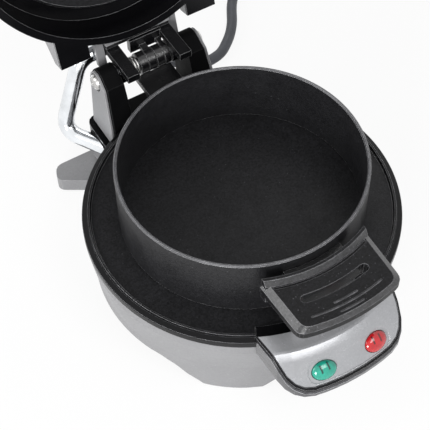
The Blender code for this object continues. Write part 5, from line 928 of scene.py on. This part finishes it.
@dataclass
class Lead:
    """The mains lead: out of the base behind the right post, round, and into its coil."""

    radius: float = 0.00355
    lift: float = 0.0001
    step: float = 0.003
    gap: float = 0.0003
    exit: Vector = field(default_factory=lambda: Vector((0.027, 0.1001072, 0.020)))
    bends: tuple[tuple[float, float, float], ...] = (
        (0.0035, 0.0154, 0.0165),
        (0.0130, 0.0184, 0.0100),
        (0.0250, 0.0144, 0.0048),
        (0.0360, 0.0102, 0.00365),
        (0.0440, 0.0104, 0.00365),
        (0.0505, 0.0126, 0.00365),
        (0.0570, 0.0174, 0.00365),
        (0.0639, 0.0238, 0.00365),
        (0.0710, 0.0329, 0.00365),
        (0.0810, 0.0489, 0.00365),
        (0.0980, 0.0679, 0.00365),
        (0.1140, 0.0879, 0.00365),
    )
    coil_centre: Vector = field(default_factory=lambda: Vector((0.104, 0.2250072, 0.0)))
    coil_radius: float = 0.039
    layer_turns: float = 1.25
    pitch: float = 0.0081
    layer_rise: float = 0.0079
    turn_points: int = 24
    ends: tuple[str, ...] = ("mains_plug", "plug_left_pin", "plug_right_pin", "cord_tie")

    def coil(self) -> list[Vector]:
        """Wind the coil, spiralling in on the floor and out again on top.

        Returns:
            The points of its middle line.
        """
        turns = self.layer_turns
        total = round(self.turn_points * turns * 2)
        points = []
        for step in range(total + 1):
            share = step / total
            inward = turns * (1 - abs(2 * share - 1))
            reach = self.coil_radius + self.pitch * (turns / 2 - inward)
            angle = math.tau * turns * 2 * share
            climb = min(max((share - 0.5) * turns * 2 + 0.5, 0.0), 1.0)
            climb = climb * climb * (3 - 2 * climb)
            height = self.radius + self.lift + self.layer_rise * climb
            around = Vector((reach * math.cos(angle), reach * math.sin(angle), height))
            points.append(self.coil_centre + around)
        start = points[0] - points[1]
        start.z = 0.0
        points.insert(0, points[0] + start.normalized() * self.radius * 2)
        points.append(points[-1] + (points[-1] - points[-2]).normalized() * self.radius * 2)
        return points

    def route(self) -> list[Vector]:
        """Lead the free stretch from the exit to the coil.

        Returns:
            The points that its middle line passes.
        """
        coil = self.coil()
        onward = (coil[0] - coil[1]).normalized()
        points = [self.exit.copy(), self.exit + Vector((0.0, self.radius * 2, 0.0))]
        points += [
            Vector((self.exit.x + across, self.exit.y + back, height))
            for across, back, height in self.bends
        ]
        points.append(coil[0] + onward * self.radius * 6)
        points.append(coil[0] + onward * self.gap)
        return points

    def build(self, shop: Workshop) -> None:
        """Args:
            shop: where the finishes are kept.
        """
        line = smooth_route(self.route(), self.step) + self.coil()
        cord = wire("mains_lead", line, self.radius)
        cord.data.materials.append(shop.finish(PVC))
        shop.place(cord, "power_cord", "power_cord_coil")
        for name in self.ends:
            shop.dress(name)


@dataclass
class Base:
    """The bowl, its black rim, the lower plate and what is inside."""

    smooth: tuple[str, ...] = ("base_housing", "top_cover", "lower_plate", "bottom_cover")
    plain: tuple[str, ...] = (
        "lower_heating_element", "lower_heat_shield",
        "thermostat", "thermal_fuse", "terminal_block",
        "front_left_foot_pad", "front_right_foot_pad", "rear_left_foot_pad", "rear_right_foot_pad",
        "cover_screw_1", "cover_screw_2", "cover_screw_3",
    )
    deck_half_width: float = 0.0385
    deck_front: float = 0.035
    deck_low: float = 0.03

    def build(self, shop: Workshop) -> None:
        """Smooth the round pieces, blacken the deck between the posts and dress the rest.

        Args:
            shop: where the finishes are kept.
        """
        for node in self.smooth:
            shop.refine(node, Turn.BASE)
        for name in ("base_housing_shell", "top_cover_shell"):
            shell = bpy.data.objects[name].data
            shell.materials.append(shop.finish(DULL_BLACK))
            for face in shell.polygons:
                spot = face.center
                between = abs(spot.x) < self.deck_half_width
                if between and spot.y > self.deck_front and spot.z > self.deck_low:
                    face.material_index = 1
        for node in self.plain:
            shop.dress(node)


@dataclass
class FrontHandle:
    """The front grip: smoked body, gloss trim, silver panel and two lamp lenses."""

    lens_radius: float = 0.1071
    lens_spacing: float = 0.0161
    lens_height: float = 0.048
    lens_crease: float = 40.0
    creases: dict[str, float] = field(default_factory=lambda: {
        "front_handle_body": 14.0, "panel_trim": 14.0, "control_fascia": 7.0,
    })

    def lens_middle(self, side: int) -> tuple[float, float, float]:
        """Find the middle of a lens.

        Args:
            side: -1 for the left lens and 1 for the right one.

        Returns:
            Its place in metres.
        """
        bearing = math.asin(self.lens_spacing / self.lens_radius) * side
        return (
            self.lens_radius * math.sin(bearing),
            SHIFT_Y - self.lens_radius * math.cos(bearing),
            self.lens_height,
        )

    def build(self, shop: Workshop) -> None:
        """Smooth the shells and put a lens finish on each lamp.

        Args:
            shop: where the finishes are kept.
        """
        for node, crease in self.creases.items():
            shop.refine(node, Turn.BASE, crease=crease)
        # Injection-moulded tinted polystyrene: clear colour and wet gloss, the lamp dark inside it;
        # the pale worn colour on its edges is a painted highlight
        green = LensFinish(
            "Moulded green polystyrene", "1c9a84", 0.12, worn_highlight_colour="c8fff4", wear_and_highlight=0.3, specular=0.5,
            grain_mm=2.0, depth_mm=0.01, cloud_mm=4.0, cloud=0.2, coat=0.6,
            middle=self.lens_middle(-1), bar="0a3b34",
        )
        red = LensFinish(
            "Moulded red polystyrene", "c01a22", 0.12, worn_highlight_colour="ffd0cc", wear_and_highlight=0.3, specular=0.5,
            grain_mm=2.0, depth_mm=0.01, cloud_mm=4.0, cloud=0.2, coat=0.6,
            middle=self.lens_middle(1), bar="5c0a10",
        )
        shop.refine("preheat_lens", finish=green, crease=self.lens_crease)
        shop.refine("power_lens", finish=red, crease=self.lens_crease)
        for node in ("preheat_lamp", "power_lamp", "lamp_holder"):
            shop.dress(node)


@dataclass
class Hinge:
    """The two posts, the bright shaft with its nuts and spring, and the wires' conduit."""

    spring_radius: float = 0.0053
    wire_radius: float = 0.00065
    pitch: float = 0.00175
    left_x: float = -0.0128
    right_x: float = -0.007
    turn_points: int = 32
    nut_seat: float = 0.0295
    nut_sides: int = 48
    crease: float = 30.0
    nut: tuple[tuple[float, float], ...] = (
        (0.0, 0.0050), (0.0009, 0.0050), (0.0012, 0.0062), (0.0016, 0.0065), (0.0026, 0.0064),
        (0.0036, 0.0060), (0.0045, 0.0052), (0.0048, 0.0046), (0.0050, 0.0042), (0.0050, 0.0002),
        (0.0048, 0.0), (0.0, 0.0),
    )
    soft: dict[str, float] = field(default_factory=lambda: {
        "left_hinge_post": 0.7, "right_hinge_post": 0.7,
        "left_post_cover": 0.3, "right_post_cover": 0.3,
    })

    def spring(self) -> list[Vector]:
        """Wind the spring's wire round the shaft.

        Returns:
            The points of its middle line.
        """
        start_x = self.left_x + self.wire_radius
        length = self.right_x - self.wire_radius - start_x
        turns = length / self.pitch
        count = round(turns * self.turn_points)
        points = []
        for step in range(count + 1):
            angle = math.tau * turns * step / count
            points.append(HINGE + Vector((
                start_x + length * step / count,
                self.spring_radius * math.cos(angle),
                self.spring_radius * math.sin(angle),
            )))
        return points

    def build(self, shop: Workshop) -> None:
        """Wind the spring and smooth the rest.

        Args:
            shop: where the finishes are kept.
        """
        spring = wire("shaft_spring", self.spring(), self.wire_radius)
        spring.data.materials.append(shop.finish(BRIGHT_STEEL))
        shop.place(spring, "hinge_spring")
        for side, name in ((-1, "left"), (1, "right")):
            axis = Matrix.Translation(HINGE + Vector((side * self.nut_seat, 0.0, 0.0)))
            place = axis @ Matrix.Rotation(side * math.pi / 2, 4, "Y")
            nut = turned(f"{name}_cap_nut", list(self.nut), place, self.nut_sides)
            nut.data.materials.append(shop.finish(BRIGHT_STEEL))
            shop.place(nut, f"{name}_shaft_nut")
        for node in ("left_hinge_post", "right_hinge_post"):
            shop.refine(node, crease=self.crease, soft_mm=self.soft[node], finish=DULL_BLACK)
        for node in (
            "left_post_cover", "right_post_cover", "hinge_shaft", "wiring_conduit",
            "conduit_bushing", "conduit_grommet", "cord_strain_relief",
        ):
            shop.refine(node, crease=self.crease, soft_mm=self.soft.get(node, 0.0))


@dataclass
class CookingRing:
    """The lift-up ring with its bracket behind and its grip in front."""

    lip_mm: float = 0.5
    lip_slope: float = 0.5
    ring_cuts: int = 3
    crease: float = 30.0
    grip_crease: float = 14.0
    grip_soft_mm: float = 0.5

    def build(self, shop: Workshop) -> None:
        """Smooth the ring, its bracket and its grip.

        Args:
            shop: where the finishes are kept.
        """
        ring = shop.refine("cooking_ring", Turn.BASE, cuts=self.ring_cuts, finish=RING_COAT_PAINTED_PALER)
        # The lip's top faces take the pale lip paint, a painted highlight
        ring.data.materials.append(shop.finish(LIP_PAINTED_HIGHLIGHT))
        top = max(corner[2] for corner in ring.bound_box)
        for face in ring.data.polygons:
            if face.center.z > top - self.lip_mm * MM and face.normal.z > self.lip_slope:
                face.material_index = 1
        grip = shop.refine(
            "ring_handle", Turn.BASE, crease=self.grip_crease, soft_mm=self.grip_soft_mm
        )
        satin_bevels_painted_lighter(grip, shop.finish(SATIN_BLACK_PAINTED_LIGHTER), UP)
        for node in (
            "ring_bracket", "ring_handle_stem", "ring_left_rivet", "ring_right_rivet",
            "handle_left_screw", "handle_right_screw",
        ):
            shop.refine(node, crease=self.crease)


@dataclass
class Lid:
    """The opened lid: grey shell, black liner, upper plate, handle and bracket."""

    crease: float = 30.0
    grip_soft_mm: float = 0.5

    def build(self, shop: Workshop) -> None:
        """Smooth the shells and dress what they hold.

        Args:
            shop: where the finishes are kept.
        """
        for node in ("lid_housing", "lid_inner_cover", "upper_plate"):
            shop.refine(node, Turn.LID)
        grip = shop.refine("lid_handle", crease=self.crease, soft_mm=self.grip_soft_mm)
        satin_bevels_painted_lighter(grip, shop.finish(SATIN_BLACK_PAINTED_LIGHTER), OPENED.to_3x3() @ UP)
        for node in ("lid_bracket", "lid_bracket_left_screw", "lid_bracket_right_screw"):
            shop.refine(node, crease=self.crease)
        for node in ("upper_heating_element", "upper_heat_shield", "lid_thermostat"):
            shop.dress(node)


def main() -> None:
    """Build the studio and every sub-assembly in order."""
    logging.basicConfig(level=logging.INFO, format="%(name)s: %(message)s")
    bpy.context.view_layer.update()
    shop = Workshop()
    Studio().build()
    for part in (Lead(), Base(), FrontHandle(), Hinge(), CookingRing(), Lid()):
        log.info("building %s", type(part).__name__)
        part.build(shop)
    bpy.context.view_layer.update()


if __name__ == "__main__":
    main()
